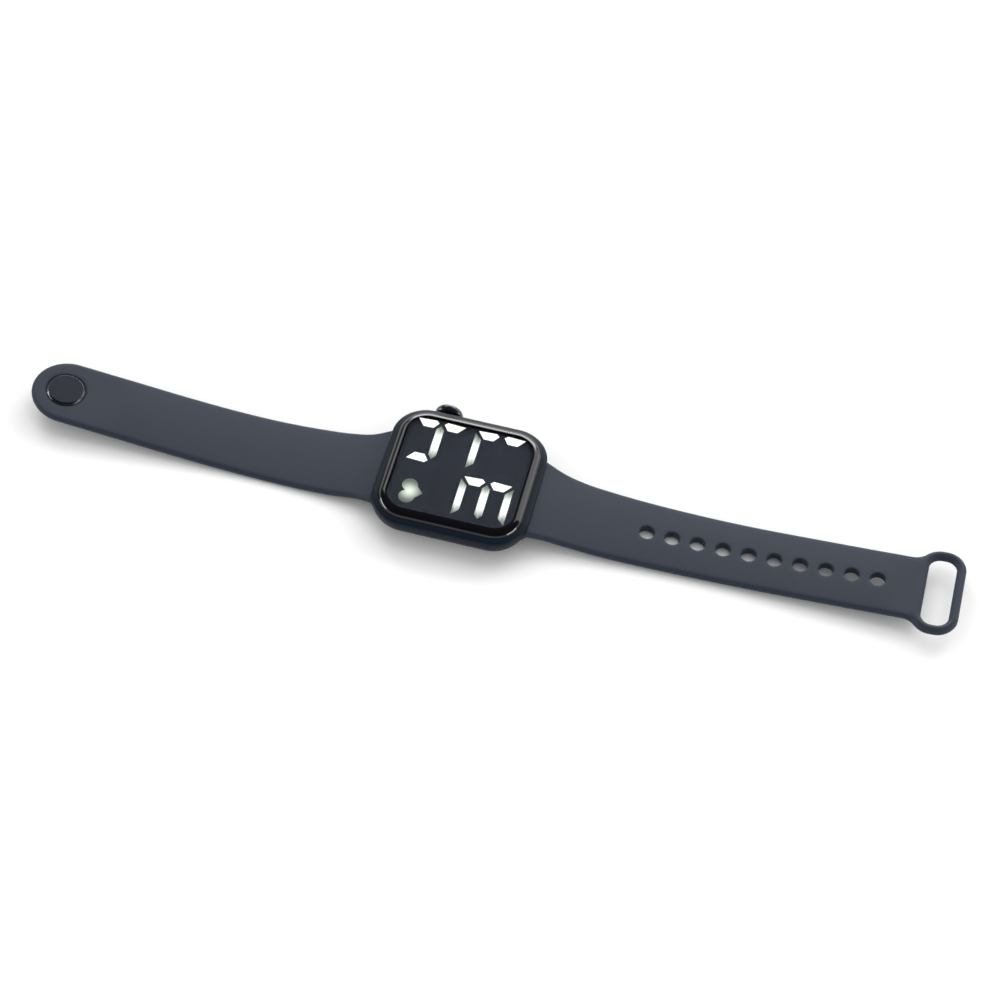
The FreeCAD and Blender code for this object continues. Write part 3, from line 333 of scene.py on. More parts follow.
# Coin cell of 20 mm in its nylon holder, with a sprung strip under it and a leaf on it.
# The can is nickel plated, the strips are bright spring steel, the holder is moulded.
nickel = grained("nickel_plate", (0.66, 0.64, 0.58), 0.22, 3.0, 0.002, metal=1.0, swing=0.06)
dress(nickel, "coin_cell", "crystal", "switch_plunger")
spring_steel = grained("spring_steel", (0.58, 0.58, 0.57), 0.28, 8.0, 0.002, metal=1.0, stretch=(0.3, 1, 1))
dress(spring_steel, "battery_clip", "negative_contact", "crown_clip", "crown_spring")
nylon = grained("holder_nylon", (0.46, 0.46, 0.43), 0.5, 4.0, 0.006, swing=0.05)
dress(nylon, "battery_holder")

# Circuit board with its parts: glass-fibre laminate under a green mask, a chip, a switch,
# a crystal and two rows of ceramic parts soldered to its underside.
laminate = plain_finish("board_laminate", (0.02, 0.13, 0.06), 0.38)
weave = add(laminate, "ShaderNodeTexBrick", Scale=1.1, Mortar_Size=0.06, offset=0.5,
            Color1=(0.016, 0.115, 0.05, 1), Color2=(0.02, 0.135, 0.06, 1), Mortar=(0.035, 0.20, 0.09, 1))
wire_up(laminate, place_in(laminate), weave.inputs["Vector"])
wire_up(laminate, weave.outputs["Color"], shader_of(laminate).inputs["Base Color"])
relief(laminate, weave.outputs["Fac"], 0.02)
dress(laminate, "main_board")
epoxy = grained("chip_epoxy", (0.022, 0.022, 0.024), 0.52, 10.0, 0.004)
dress(epoxy, "controller_chip", "tact_switch")
ceramic = grained("fired_ceramic", (0.30, 0.21, 0.13), 0.42, 7.0, 0.003)
dress(ceramic, "resistors", "capacitors")
led_resin = grained("led_resin", (0.82, 0.79, 0.55), 0.3, 6.0, 0.002, swing=0.04)
dress(led_resin, "display_leds")

# Display mask: one dark slate moulding, fine and dull, with a window for each segment.
# It lies under the lens, so its edge is the edge of the clear face.
face_grey = (0.040, 0.045, 0.060)
face_gloss = 0.15
mask_finish = plain_finish("mask_slate", face_grey, 0.6)
shader_of(mask_finish).inputs["Specular IOR Level"].default_value = face_gloss
mask_streak = noise(mask_finish, 0.9, detail=5.0, stretch=(1.0, 0.15, 1.0))
tint(mask_finish, mask_streak, shade(face_grey, 0.92), shade(face_grey, 1.08))
relief(mask_finish, noise(mask_finish, 6.0), 0.0015)
dress(mask_finish, "display_mask")

# Segment windows: milky acrylic bars let into the mask, lit from behind by the LEDs.
# Upright bars glow white all over, cross bars fade to grey-green at their two ends.
figure_step = (16.52, 15.97)
figure_at = (7.87, 8.08)
end_bar_past = 0.55
mid_bar_within = 6.3
fade_start = 0.8
fade_end = 5.4
fade_sway = 3.0
window_milk = (0.055, 0.065, 0.055)
glow = plain_finish("lit_window", window_milk, 0.5)
spot = add(glow, "ShaderNodeSeparateXYZ")
wire_up(glow, place_in(glow), spot.inputs["Vector"])


def from_middle(axis, centre, step):
    """Distance from the middle of the nearest figure along one axis."""
    shifted = worked(glow, "SUBTRACT", spot.outputs[axis], centre)
    return worked(glow, "PINGPONG", shifted, step / 2)


across = from_middle("Y", figure_at[1], figure_step[1])
along = from_middle("X", figure_at[0], figure_step[0])
end_bar = worked(glow, "GREATER_THAN", worked(glow, "SUBTRACT", along, across), end_bar_past)
mid_bar = worked(glow, "LESS_THAN", worked(glow, "ADD", along, across), mid_bar_within)
is_cross_bar = worked(glow, "MAXIMUM", end_bar, mid_bar)
streak = worked(glow, "SUBTRACT", noise(glow, 0.8, detail=4.0, stretch=(3.0, 0.25, 1.0)), 0.5)
reach = worked(glow, "ADD", across, worked(glow, "MULTIPLY", streak, fade_sway))
fade = add(glow, "ShaderNodeMapRange", interpolation_type="SMOOTHSTEP",
           From_Min=fade_start, From_Max=fade_end)
wire_up(glow, reach, fade.inputs["Value"])
dimness = worked(glow, "MULTIPLY", fade.outputs["Result"], is_cross_bar)
glow_tone = ramp(glow, (0.98, 1, 0.88), (0.11, 0.15, 0.10))
wire_up(glow, dimness, glow_tone.inputs["Fac"])
wire_up(glow, glow_tone.outputs["Color"], shader_of(glow).inputs["Emission Color"])
shader_of(glow).inputs["Emission Strength"].default_value = 2.0
dress(glow, "segments_lit")
unlit = grained("unlit_window", face_grey, 0.6, 6.0, 0.0015, swing=0.05)
shader_of(unlit).inputs["Specular IOR Level"].default_value = face_gloss
dress(unlit, "segments_dark")

# Heart window: the same milky acrylic, white over its LEDs and grey-green at its rim.
# It is let into the mask beside the figures and lit from behind by its own two LEDs.
heart_low, heart_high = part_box("heart_icon")
heart_middle = (heart_low + heart_high) / 2 / MM
heart_shift = 0.6
heart_fade_start = -0.4
heart_fade_end = 3.7
heart_glow = plain_finish("heart_window", window_milk, 0.5)
from_heart = add(heart_glow, "ShaderNodeVectorMath", operation="DISTANCE")
wire_up(heart_glow, place_in(heart_glow), from_heart.inputs[0])
from_heart.inputs[1].default_value = (heart_middle.x - heart_shift, heart_middle.y, heart_middle.z)
heart_fade = add(heart_glow, "ShaderNodeMapRange", interpolation_type="SMOOTHSTEP",
                 From_Min=heart_fade_start, From_Max=heart_fade_end)
wire_up(heart_glow, from_heart.outputs["Value"], heart_fade.inputs["Value"])
heart_tone = ramp(heart_glow, (0.95, 1, 0.82), (0.085, 0.115, 0.07))
wire_up(heart_glow, heart_fade.outputs["Result"], heart_tone.inputs["Fac"])
wire_up(heart_glow, heart_tone.outputs["Color"], shader_of(heart_glow).inputs["Emission Color"])
shader_of(heart_glow).inputs["Emission Strength"].default_value = 1.6
dress(heart_glow, "heart_icon")

# Lens and its tape: one thick piece of smoky acrylic with edges rolled down on all sides,
# polished and printed black, so only its flat middle is clear. It is stuck to the ledge of
# the case with black foam tape.
lens_finish = plain_finish("smoky_acrylic", (0.72, 0.74, 0.78), 0.02)
lens_shader = shader_of(lens_finish)
lens_shader.inputs["Transmission Weight"].default_value = 1.0
lens_shader.inputs["IOR"].default_value = 1.49
lens_path = add(lens_finish, "ShaderNodeLightPath")
lens_clear = add(lens_finish, "ShaderNodeBsdfTransparent", Color=(0.8, 0.82, 0.85, 1))
lens_mix = add(lens_finish, "ShaderNodeMixShader")
wire_up(lens_finish, lens_path.outputs["Is Shadow Ray"], lens_mix.inputs[0])
wire_up(lens_finish, lens_shader.outputs["BSDF"], lens_mix.inputs[1])
wire_up(lens_finish, lens_clear.outputs["BSDF"], lens_mix.inputs[2])
lens_end = lens_finish.node_tree.nodes["Material Output"]
wire_up(lens_finish, lens_mix.outputs["Shader"], lens_end.inputs["Surface"])
relief(lens_finish, noise(lens_finish, 0.12, detail=1.0), 0.01)
dress(lens_finish, "lens")
black_print = plain_finish("black_print", (0.004, 0.004, 0.006), 0.10)
relief(black_print, noise(black_print, 0.12, detail=1.0), 0.01)
lens_sheet = node["lens"].data
lens_sheet.materials.append(black_print)
pane_reach = (17.3 * MM, 16.0 * MM)
level_from = 0.999
for face in lens_sheet.polygons:
    level = abs(face.normal.z) > level_from
    near_middle = abs(face.center.x) < pane_reach[0] and abs(face.center.y) < pane_reach[1]
    face.material_index = 0 if level and near_middle else 1
foam = grained("foam_tape", (0.006, 0.006, 0.007), 0.8, 5.0, 0.01)
dress(foam, "lens_tape")

# Case: one satin moulding in dark slate ABS, curved in below like a pebble,
# with a recess at each end for the band and a bored boss for the crown.
case_slate = (0.006, 0.011, 0.020)
case_finish = plain_finish("satin_case", case_slate, 0.34)
shader_of(case_finish).inputs["Specular IOR Level"].default_value = 0.10
case_grain = noise(case_finish, 9.0, detail=4.0)
tint(case_finish, case_grain, shade(case_slate, 0.92), shade(case_slate, 1.08))
vary(case_finish, case_grain, 0.30, 0.38, "Roughness")
relief(case_finish, case_grain, 0.0015)
dress(case_finish, "case_body")

# Crown: a domed metal button with a dark gloss coating, pressed on a steel stem.
# A coil spring under it pushes it out of the side of the case.
crown_dark = (0.006, 0.008, 0.014)
crown_finish = plain_finish("crown_coating", crown_dark, 0.24)
crown_shader = shader_of(crown_finish)
crown_shader.inputs["Coat Weight"].default_value = 0.3
crown_shader.inputs["Coat Roughness"].default_value = 0.2
crown_grain = noise(crown_finish, 5.0)
tint(crown_finish, crown_grain, shade(crown_dark, 0.85), shade(crown_dark, 1.15))
vary(crown_finish, crown_grain, 0.22, 0.28, "Roughness")
relief(crown_finish, crown_grain, 0.001)
crown_radius = 3.85
crown_depth = 2.4
crown_edge = 1.1
crown_dome = 0.3
crown_hollow = (2.3, 0.8)
stem_socket = (0.9, 1.7)
crown_at = (-8.35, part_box("crown_cap")[0].y / MM, 5.5)
turned_crease = math.radians(35)


def arc(centre, radius, start, end, count):
    """Points along an arc, angles in degrees."""
    angles = np.radians(np.linspace(start, end, count))
    return [(centre[0] + radius * math.cos(angle), centre[1] + radius * math.sin(angle)) for angle in angles]


def turned(name, profile, seat, axis):
    """Lathe a profile of (radius, height) points, from one end of the axis to the other."""
    segments = 96
    mesh = bmesh.new()
    rings = []
    for radius, height in profile:
        if radius == 0:
            rings.append([mesh.verts.new((0, 0, height * MM))])
            continue
        ring = arc((0, 0), radius * MM, 0, 360 - 360 / segments, segments)
        rings.append([mesh.verts.new((x, y, height * MM)) for x, y in ring])
    for first, second in zip(rings, rings[1:]):
        for index in range(segments):
            after = (index + 1) % segments
            corners = [first[index % len(first)], first[after % len(first)],
                       second[after % len(second)], second[index % len(second)]]
            mesh.faces.new(list(dict.fromkeys(corners)))
    bmesh.ops.recalc_face_normals(mesh, faces=mesh.faces)
    place = Matrix.Translation(Vector(seat) * MM) @ Vector(axis).to_track_quat("Z", "Y").to_matrix().to_4x4()
    bmesh.ops.transform(mesh, matrix=place, verts=mesh.verts)
    for face in mesh.faces:
        face.smooth = True
    data = bpy.data.meshes.new(name)
    mesh.to_mesh(data)
    mesh.free()
    data.set_sharp_from_angle(angle=turned_crease)
    piece = bpy.data.objects.new(name, data)
    bpy.context.scene.collection.objects.link(piece)
    return piece


crown_flat = crown_radius - crown_edge
dome_radius = (crown_flat ** 2 + crown_dome ** 2) / (2 * crown_dome)
dome_half = math.degrees(math.asin(crown_flat / dome_radius))
crown_profile = [(0, stem_socket[1]), stem_socket, (stem_socket[0], crown_hollow[1])]
crown_profile += [crown_hollow, (crown_hollow[0], 0.0)]
crown_profile += arc((crown_flat, crown_edge), crown_edge, -90, 0, 9)
crown_profile += arc((crown_flat, crown_depth - crown_edge), crown_edge, 0, 82, 9)
crown_profile += arc((0, crown_depth + crown_dome - dome_radius), dome_radius, 90 - dome_half, 89, 10)
crown_profile += [(0, crown_depth + crown_dome)]
crown_button = turned("crown_button", crown_profile, crown_at, (0, 1, 0))
crown_button.data.materials.append(crown_finish)
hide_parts("crown_cap")
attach(crown_button, "crown")

# Spring bars: a steel tube with a sprung pin in each end, one bar for each half of the band.
# The pins snap into blind holes in the case.
bar_steel = grained("bar_steel", (0.60, 0.60, 0.61), 0.2, 9.0, 0.002, metal=1.0, stretch=(1, 6, 1))
for bar in ("hole_bar", "stud_bar"):
    dress(bar_steel, bar + "_tube", bar + "_tip_crown_side", bar + "_tip_far_side")
    dress(spring_steel, bar + "_spring")

# Stud half of the band: a strip of silicone moulded in one piece round its spring bar hole.
# It flares to the case, tapers to a round tip, and has a shallow seat for the stud.
bar_x = 17.9
bar_z = 4.7
bar_bore = 0.85
knuckle_radius = 2.55
knuckle_back = -2.3
edge_round = 0.95
band_thick = 2.0
band_at_case = 2.5
case_edge_run = 3.2
thinned_run = 8.3
even_run = 60.0
plan_step = 0.8
belly_rise = 0.3
belly_fade = 8.0
band_crease = math.radians(50)
probe = 0.1


def smooth_line(stations):
    """Height and slope along a smooth line through (run, height) stations."""
    runs = np.array([station[0] for station in stations])
    heights = np.array([station[1] for station in stations])
    slopes = np.gradient(heights, runs)

    def at(run):
        run = np.asarray(run, float)
        cell = np.clip(np.searchsorted(runs, run) - 1, 0, len(runs) - 2)
        width = runs[cell + 1] - runs[cell]
        share = np.clip((run - runs[cell]) / width, 0, None)
        low, high = heights[cell], heights[cell + 1]
        low_slope, high_slope = slopes[cell] * width, slopes[cell + 1] * width
        curve = (2 * low - 2 * high + low_slope + high_slope) * share ** 3
        curve += (3 * high - 3 * low - 2 * low_slope - high_slope) * share ** 2
        return curve + low_slope * share + low

    return at


def band_body(stations):
    """Middle height and half thickness of a half of the band at a run from its spring bar."""
    top = smooth_line(stations)
    first_top = stations[0][1]
    first_low = first_top - band_at_case
    lean = math.atan2(first_low - bar_z, case_edge_run) - math.acos(
        knuckle_radius / math.hypot(case_edge_run, first_low - bar_z))
    leave_run = knuckle_radius * math.cos(lean)
    leave_low = bar_z + knuckle_radius * math.sin(lean)

    def at(run):
        run = np.asarray(run, float)
        ball = np.sqrt(np.clip(knuckle_radius ** 2 - run ** 2, 0.01, None))
        thinning = np.clip((thinned_run - run) / (thinned_run - case_edge_run), 0, 1) ** 2
        thick = band_thick + (band_at_case - band_thick) * thinning
        upper = np.where(run > case_edge_run, top(np.maximum(run, case_edge_run)), bar_z + knuckle_radius
                         + (first_top - bar_z - knuckle_radius) * np.clip(run / case_edge_run, 0, 1))
        upper = np.where(run < 0, bar_z + ball, upper)
        lower = np.where(run > leave_run, leave_low + (first_low - leave_low)
                         * (run - leave_run) / (case_edge_run - leave_run), bar_z - ball)
        lower = np.where(run > case_edge_run, upper - thick, lower)
        return (upper + lower) / 2, (upper - lower) / 2

    return at


def evenly(points, spacing):
    """The same closed line with a point every so often, its corners kept."""
    result = []
    for (x0, y0), (x1, y1) in zip(points, points[1:] + points[:1]):
        count = max(1, round(math.hypot(x1 - x0, y1 - y0) / spacing))
        for index in range(count):
            share = index / count
            result.append((x0 + (x1 - x0) * share, y0 + (y1 - y0) * share))
    return np.array(result)


def clear_corners(plan, half_width):
    """The plan without the points so near the knuckle's two corners that rounding would cross them."""
    clearance = 1.3 * edge_round
    gap = np.hypot(plan[:, 0] - knuckle_back, np.abs(plan[:, 1]) - half_width)
    return plan[(gap < 1e-6) | (gap > clearance)]


def inward(loop):
    """Direction into a counter-clockwise loop at each point, longer at corners."""
    before = loop - np.roll(loop, 1, axis=0)
    after = np.roll(loop, -1, axis=0) - loop
    before /= np.linalg.norm(before, axis=1)[:, None]
    after /= np.linalg.norm(after, axis=1)[:, None]
    left = np.stack([-before[:, 1], before[:, 0]], 1)
    right = np.stack([-after[:, 1], after[:, 0]], 1)
    share = 1 + (left * right).sum(1)
    return (left + right) / share[:, None]


def inside(points, loop):
    """Which points lie inside a closed loop."""
    x, y = points[:, 0][:, None], points[:, 1][:, None]
    x0, y0 = loop[:, 0][None], loop[:, 1][None]
    x1, y1 = np.roll(loop[:, 0], -1)[None], np.roll(loop[:, 1], -1)[None]
    crosses = (y0 > y) != (y1 > y)
    with np.errstate(divide="ignore", invalid="ignore"):
        at = x0 + (y - y0) * (x1 - x0) / (y1 - y0)
    return (crosses & (x < at)).sum(1) % 2 == 1


def skin(outer, rings):
    """Triangles that fill the outer loop around the rings. Loops come first in the points."""
    spacing = 1.0
    nearest = 0.55
    batch = 200
    loops = [outer] + rings
    edges = []
    total = 0
    for loop in loops:
        count = len(loop)
        edges += [(total + index, total + (index + 1) % count) for index in range(count)]
        total += count
    rim = np.concatenate(loops)
    low, high = outer.min(0), outer.max(0)
    xs = np.arange(low[0] + spacing / 2, high[0], spacing)
    ys = np.arange(low[1] + spacing / 2, high[1], spacing)
    filling = np.array([(x + (row % 2) * spacing / 2, y) for row, y in enumerate(ys) for x in xs])
    filling = filling[inside(filling, outer)]
    for ring in rings:
        filling = filling[~inside(filling, ring)]
    gap = np.full(len(filling), 1e9)
    for start in range(0, len(rim), batch):
        part = rim[start:start + batch]
        gap = np.minimum(gap, np.linalg.norm(filling[:, None] - part[None], axis=2).min(1))
    filling = filling[gap > spacing * nearest]
    points = np.concatenate([rim, filling])
    found = delaunay_2d_cdt([Vector(point) for point in points], edges, [], 0, 1e-7)
    source = [origins[0] for origins in found[3]]
    faces = np.array([[source[corner] for corner in face] for face in found[2]])
    middle = points[faces].mean(1)
    keep = inside(middle, outer)
    for ring in rings:
        keep &= ~inside(middle, ring)
    return points, faces[keep]


def mould(name, outline, holes, body, rim, crown, belly, side):
    """Closed mesh of a half of the band.

    The outline is its plan. Each hole is a run, a shape and (size, share of the thickness)
    rings from the upper face down. rim gives the edge rounding at plan points, crown what
    each face stands out more, and belly what the upper face does besides.
    """
    mesh = bmesh.new()
    into = inward(outline)
    rounding = rim(outline)

    def faces_at(plan):
        middle, half = body(plan[:, 0])
        more = belly(plan) / 2
        return middle + more, half + crown(plan) + more

    def lift(plan, share, under):
        middle, half = faces_at(plan)
        height = np.where(under, -1.0, 1.0) * half * share
        return np.stack([side * (bar_x + plan[:, 0]), side * -plan[:, 1], middle + height], 1) * MM

    def put(points):
        return [mesh.verts.new(point) for point in points]

    def strip(first, second):
        count = len(first)
        for index in range(count):
            after = (index + 1) % count
            mesh.faces.new((first[index], first[after], second[after], second[index]))

    steps = 6
    levels = [math.pi / 2 * (1 - step / (steps - 1)) for step in range(steps)]
    shells = []
    for under in (False, True):
        for angle in (levels if not under else levels[::-1]):
            plan = outline + into * (rounding * (1 - math.cos(angle)))[:, None]
            _, half = faces_at(plan)
            shells.append(lift(plan, 1 - rounding * (1 - math.sin(angle)) / half, under))
    inner = outline + into * rounding[:, None]
    rings = []
    for run, shape, profile in holes:
        middle, half = body(np.array([run, run + probe]))
        slope = float(middle[1] - middle[0]) / probe
        rounds = []
        for size, share in profile:
            rounds.append((shape(size) + np.array([run + slope * 2 * float(half[0]) * share, 0.0]), share))
        rings.append(rounds)
    tops = skin(inner, [rounds[0][0] for rounds in rings])
    lows = skin(inner, [rounds[-1][0] for rounds in rings])
    faces = []
    for (points, triangles), under in ((tops, False), (lows, True)):
        made = put(lift(points, np.ones(len(points)), under))
        for a, b, c in triangles:
            mesh.faces.new((made[a], made[b], made[c]) if not under else (made[c], made[b], made[a]))
        faces.append(made)
    count = len(outline)
    walls = [faces[0][:count]] + [put(shell) for shell in shells[1:-1]] + [faces[1][:count]]
    for first, second in zip(walls, walls[1:]):
        strip(second, first)
    at = count
    for rounds in rings:
        size = len(rounds[0][0])
        loops = [faces[0][at:at + size]]
        for plan, share in rounds[1:-1]:
            loops.append(put(lift(plan, np.full(len(plan), 1 - 2 * share), False)))
        loops.append(faces[1][at:at + size])
        for first, second in zip(loops, loops[1:]):
            strip(first, second)
        at += size
    bmesh.ops.recalc_face_normals(mesh, faces=mesh.faces)
    if mesh.calc_volume(signed=True) < 0:
        bmesh.ops.reverse_faces(mesh, faces=mesh.faces)
    for face in mesh.faces:
        face.smooth = True
    data = bpy.data.meshes.new(name)
    mesh.to_mesh(data)
    mesh.free()
    piece = bpy.data.objects.new(name, data)
    bpy.context.scene.collection.objects.link(piece)
    return piece


def bore_for_bar(piece, side):
    """Drill the hole for the spring bar right through the knuckle."""
    knuckle_reach = 20
    bit_mesh = bpy.data.meshes.new("bit")
    bit = bmesh.new()
    bmesh.ops.create_cone(bit, cap_ends=True, segments=48, radius1=bar_bore * MM, radius2=bar_bore * MM,
                          depth=2 * knuckle_reach * MM)
    bit.to_mesh(bit_mesh)
    bit.free()
    tool = bpy.data.objects.new("bit", bit_mesh)
    bpy.context.scene.collection.objects.link(tool)
    tool.rotation_euler = (math.pi / 2, 0, 0)
    tool.location = (side * bar_x * MM, 0, bar_z * MM)
    drill = piece.modifiers.new("drill", "BOOLEAN")
    drill.object = tool
    drill.solver = "MANIFOLD"
    bpy.context.view_layer.update()
    drilled = bpy.data.meshes.new_from_object(piece.evaluated_get(bpy.context.evaluated_depsgraph_get()))
    piece.modifiers.clear()
    piece.data = drilled
    piece.data.name = piece.name
    bpy.data.objects.remove(tool)
    drilled.set_sharp_from_angle(angle=band_crease)


def round_across(plan, half_width, end):
    """How much the upper face stands up from the band's edges to its middle, up to a run."""
    rise = belly_rise * (1 - np.clip(np.abs(plan[:, 1]) / half_width, 0, 1) ** 2)
    return rise * np.clip((end - plan[:, 0]) / belly_fade, 0, 1)


def long_edge(stations, flare, half_width):
    """Half width of the band at its stations, then level far past its end."""
    runs = [station[0] for station in stations[:len(flare) + 2]] + [200.0]
    return smooth_line(list(zip(runs, list(flare) + [half_width] * 3)))


def circle(size):
    """Round hole, sixty points."""
    return np.array(arc((0, 0), size, 0, 354, 60))


def lips(size, rounding, thick):
    """Ring sizes of a through hole with both its lips rounded."""
    bend = [math.radians(angle) for angle in (0, 22, 45, 67, 90)]
    upper = [(size + rounding * (1 - math.sin(a)), rounding * (1 - math.cos(a)) / thick) for a in bend]
    return upper + [(ring, 1 - share) for ring, share in upper[::-1]]


silicone_slate = (0.023, 0.031, 0.049)
silicone = plain_finish("slate_silicone", silicone_slate, 0.56)
silicone_shader = shader_of(silicone)
silicone_shader.inputs["Specular IOR Level"].default_value = 0.14
silicone_shader.inputs["Sheen Weight"].default_value = 0.08
silicone_shader.inputs["Sheen Roughness"].default_value = 0.6
silicone_cloud = noise(silicone, 0.09, detail=4.0)
tint(silicone, silicone_cloud, shade(silicone_slate, 0.94), shade(silicone_slate, 1.06))
silicone_grain = noise(silicone, 11.0, detail=3.0)
vary(silicone, silicone_grain, 0.52, 0.62, "Roughness")
relief(silicone, silicone_grain, 0.006, 0.5)

stud_line = ((3.2, 6.5), (8.3, 4.5), (14.7, 3.05), (22.0, 2.35), (32.5, 2.03), (45.1, 2.41),
             (59.8, 3.58), (74.5, 5.13), (89.2, 6.68), (100.45, 7.9))
stud_flare = (12.3, 11.04, 10.66, 10.45, 10.13, 9.93)
stud_half_width = 9.85
stud_belly_end = 82.0
tip_run = 100.45
stud_run = 91.3
seat_radius = 5.43
seat_deep = 0.175
peg_bore = 1.25
pocket_radius = 3.25
pocket_from = 0.85
stud_edge = long_edge(stud_line, stud_flare, stud_half_width)
tip_start = tip_run - stud_half_width
runs = np.concatenate([np.linspace(case_edge_run, even_run, 72),
                       np.linspace(even_run + plan_step, tip_start - plan_step, 38)])
upper = [(knuckle_back, -stud_flare[0]), (0.0, -stud_flare[0])]
upper += [(float(run), -float(stud_edge(run))) for run in runs]
round_tip = arc((tip_start, 0), stud_half_width, -90, 90, 57)
stud_outline = upper + round_tip + [(x, -y) for x, y in upper[::-1]]
stud_plan = clear_corners(evenly(stud_outline, plan_step), stud_flare[0])
seat_rings = ((seat_radius + 0.14, 0), (seat_radius + 0.04, 0.018), (seat_radius, 0.065),
              (seat_radius, seat_deep), (peg_bore, seat_deep),
              (peg_bore, pocket_from), (pocket_radius, pocket_from), (pocket_radius, 1))


def stud_rim(plan):
    return np.full(len(plan), edge_round)


def stud_crown(plan):
    return np.zeros(len(plan))


def stud_belly(plan):
    return round_across(plan, stud_half_width, stud_belly_end)


stud_body = band_body(stud_line)
stud_strip = mould("stud_strip", stud_plan, [(stud_run, circle, seat_rings)], stud_body,
                   stud_rim, stud_crown, stud_belly, -1)
bore_for_bar(stud_strip, -1)
stud_strip.data.materials.clear()
stud_strip.data.materials.append(silicone)
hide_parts("strap_stud")
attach(stud_strip, "stud_half")
clear_card_for(stud_strip, (-bar_x * MM, bar_z * MM), 0)

# Stud: a turned metal button with a flat dull top and a glossy chamfer, set in the band's
# seat. Its peg is pressed on the shank below, with a collar, a neck and a mushroom head.
stud_dark = (0.011, 0.015, 0.027)
stud_finish = plain_finish("stud_coating", stud_dark, 0.42)
shader_of(stud_finish).inputs["Specular IOR Level"].default_value = 0.16
stud_brush = noise(stud_finish, 2.2, detail=4.0, stretch=(1, 0.25, 1))
tint(stud_finish, stud_brush, shade(stud_dark, 0.88), shade(stud_dark, 1.12))
relief(stud_finish, stud_brush, 0.0015)
stud_gloss = plain_finish("stud_gloss", (0.006, 0.006, 0.009), 0.2)
shader_of(stud_gloss).inputs["Specular IOR Level"].default_value = 0.8
gloss_grain = noise(stud_gloss, 4.0)
vary(stud_gloss, gloss_grain, 0.18, 0.24, "Roughness")
relief(stud_gloss, gloss_grain, 0.001)
stud_radius = 5.15
stud_height = 0.55
stud_foot = -0.35
stud_chamfer = ((0.56, 0), (0.52, 0), (0.47, 0.02), (0.44, 0.045), (0.09, 0.45), (0.02, 0.52), (0, 0.58))
shank = 1.2
shank_end = -3.1
collar = ((1.2, -1.7), (3.15, -1.7), (3.2, -1.75), (3.2, -1.95), (3.15, -2.0))
neck = ((2.05, -2.0), (1.95, -2.1), (1.95, -4.1), (2.05, -4.2), (2.75, -4.2), (2.85, -4.3))
head_round = 0.6
head_at = (2.25, -4.9)
head_end = -5.5
seat_middle, seat_half = stud_body(np.array([stud_run - 0.5, stud_run, stud_run + 0.5]))
seat_rise = float(seat_middle[2] - seat_middle[0])
stud_axis = Vector((seat_rise, 0, 1)).normalized()
stud_seat = (-(bar_x + stud_run), 0, float(seat_middle[1] + seat_half[1]))
cap_profile = [(0, stud_height)] + [(stud_radius - inset, stud_height - drop) for inset, drop in stud_chamfer]
cap_profile += [(stud_radius, stud_foot), (shank, stud_foot), (shank, shank_end), (0, shank_end)]
button = turned("stud_button", cap_profile, stud_seat, stud_axis)
button.data.materials.append(stud_gloss)
button.data.materials.append(stud_finish)
for face in button.data.polygons:
    face.material_index = 1 if face.normal.dot(stud_axis) > level_from else 0
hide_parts("stud_cap")
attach(button, "stud_half")
peg_profile = [(0, shank_end), (shank, shank_end), *collar, *neck]
peg_profile += arc(head_at, head_round, 0, -90, 9) + [(0, head_end)]
peg = turned("stud_peg_turned", peg_profile, stud_seat, stud_axis)
peg.data.materials.append(stud_gloss)
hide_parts("stud_peg")
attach(peg, "stud_half")

# Hole half of the band: the same silicone, with ten punched holes down its middle.
# Its end is moulded into a round-wired loop that takes the other half's tip.
hole_line = ((3.2, 7.25), (8.3, 5.5), (14.7, 4.05), (22.0, 3.17), (32.5, 2.65), (45.1, 2.54),
             (59.8, 2.87), (74.5, 3.7), (89.2, 4.7), (106.2, 6.0), (118.0, 6.9))
hole_flare = (12.54, 11.45, 10.88, 10.7, 10.4, 10.15)
hole_half_width = 10.0
hole_belly_end = 104.0
hole_count = 10
hole_radius = 2.07
hole_lip = 0.25
hole_step = 6.86
first_hole = 33.4
loop_run = 111.2
loop_spread = 0.5
loop_side = 7.8
loop_bend = 4.41
loop_wire = 1.28
loop_round = 1.12
loop_round_start = 103.0
loop_round_fade = 5.0
loop_rib = 0.38
loop_rib_reach = 1.7
loop_flare = 5.0
hole_edge = long_edge(hole_line, hole_flare, hole_half_width)
left_corner = (loop_run - loop_spread, loop_side)
outer_radius = loop_bend + loop_wire
flare_rise = hole_half_width + loop_flare - loop_side
flare_centre = (left_corner[0] - math.sqrt((outer_radius + loop_flare) ** 2 - flare_rise ** 2),
                hole_half_width + loop_flare)
meet = math.degrees(math.atan2(left_corner[1] - flare_centre[1], left_corner[0] - flare_centre[0]))
runs = np.concatenate([np.linspace(case_edge_run, even_run, 72),
                       np.linspace(even_run + plan_step, flare_centre[0] - plan_step, 50)])
near = [(knuckle_back, -hole_flare[0]), (0.0, -hole_flare[0])]
near += [(float(run), -float(hole_edge(run))) for run in runs]
near += [(x, -y) for x, y in arc(flare_centre, loop_flare, -90, meet, 14)]
near += [(x, -y) for x, y in arc(left_corner, outer_radius, meet + 180, 90, 16)[1:]]
near += [(x, -y) for x, y in arc((loop_run + loop_spread, loop_side), outer_radius, 90, 0, 20)]
hole_plan = clear_corners(evenly(near + [(x, -y) for x, y in near[::-1]], plan_step), hole_flare[0])


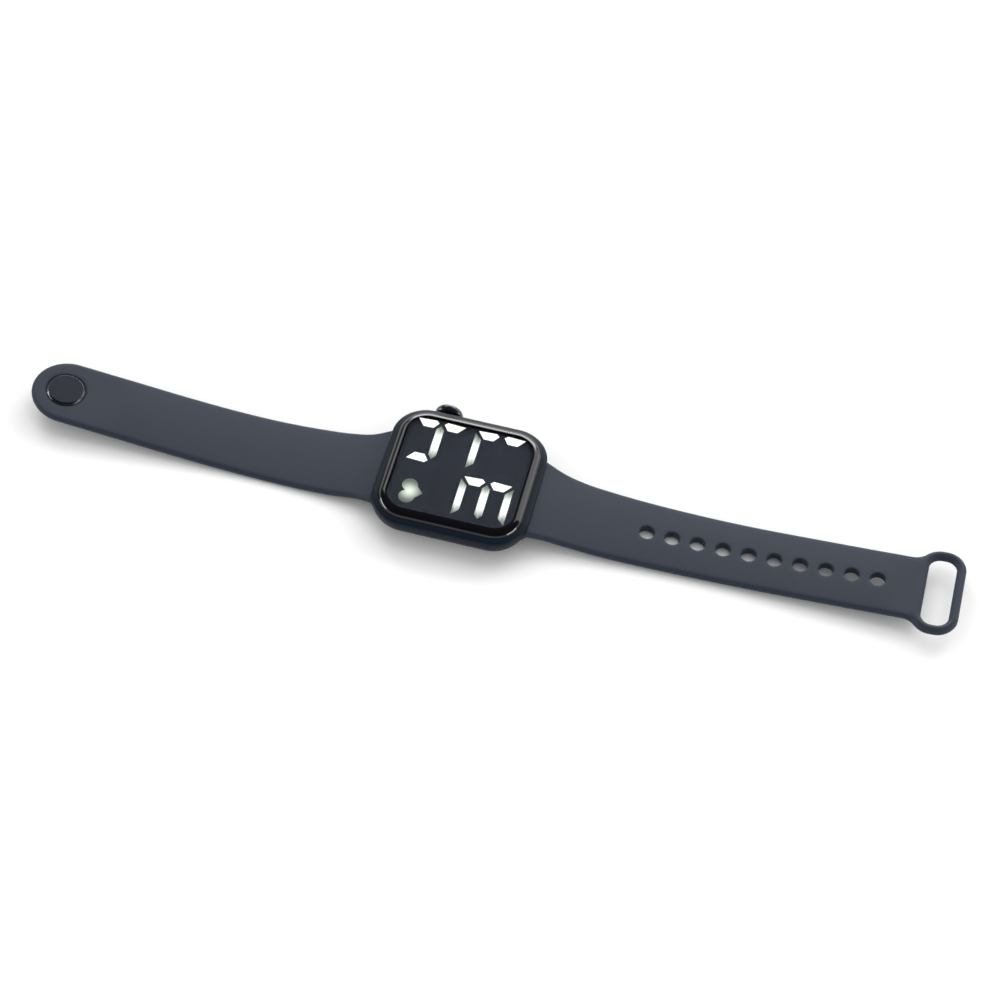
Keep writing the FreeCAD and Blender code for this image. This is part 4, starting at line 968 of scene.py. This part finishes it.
def slot_shape(size):
    """The loop's opening, a rectangle rounded at its corners, the same number of points at any size."""
    corner = []
    for x, y, start in ((1, 1, 0), (-1, 1, 90), (-1, -1, 180), (1, -1, 270)):
        corner += arc((x * loop_spread, y * loop_side), size, start, start + 90, 16)
        if x == y:
            continue
        ends = np.linspace(loop_side * y, -loop_side * y, 22)[1:-1]
        corner += [(x * (loop_spread + size), float(level)) for level in ends]
    return np.array(corner)


def loop_distance(plan):
    """Distance from the middle line of the loop's wire."""
    past_x = np.abs(plan[:, 0] - loop_run) - loop_spread
    past_y = np.abs(plan[:, 1]) - loop_side
    outside = np.hypot(np.maximum(past_x, 0), np.maximum(past_y, 0))
    return np.abs(outside + np.minimum(np.maximum(past_x, past_y), 0) - loop_bend)


def loop_crown(plan):
    """How much the loop's wire stands out of both faces."""
    share = np.clip(1 - loop_distance(plan) / loop_rib_reach, 0, 1)
    return loop_rib * share * share * (3 - 2 * share)


def hole_belly(plan):
    return round_across(plan, hole_half_width, hole_belly_end)


def hole_rim(plan):
    """Edge rounding, larger round the loop."""
    share = np.clip((plan[:, 0] - loop_round_start) / loop_round_fade, 0, 1)
    return edge_round + (loop_round - edge_round) * share * share * (3 - 2 * share)


hole_body = band_body(hole_line)
band_holes = []
hole_run = first_hole
for index in range(hole_count):
    band_holes.append((hole_run, circle, lips(hole_radius, hole_lip, band_thick)))
    middle, _ = hole_body(np.array([hole_run, hole_run + probe]))
    hole_run += hole_step * probe / math.hypot(probe, float(middle[1] - middle[0]))
loop_lips = lips(loop_bend - loop_wire, loop_round, 2 * (band_thick / 2 + loop_rib))
band_holes.append((loop_run, slot_shape, loop_lips))
hole_strip = mould("hole_strip", hole_plan, band_holes, hole_body, hole_rim, loop_crown, hole_belly, 1)
bore_for_bar(hole_strip, 1)
hole_strip.data.materials.clear()
hole_strip.data.materials.append(silicone)
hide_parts("strap_holes")
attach(hole_strip, "hole_half")
clear_card_for(hole_strip, (bar_x * MM, bar_z * MM), 1)
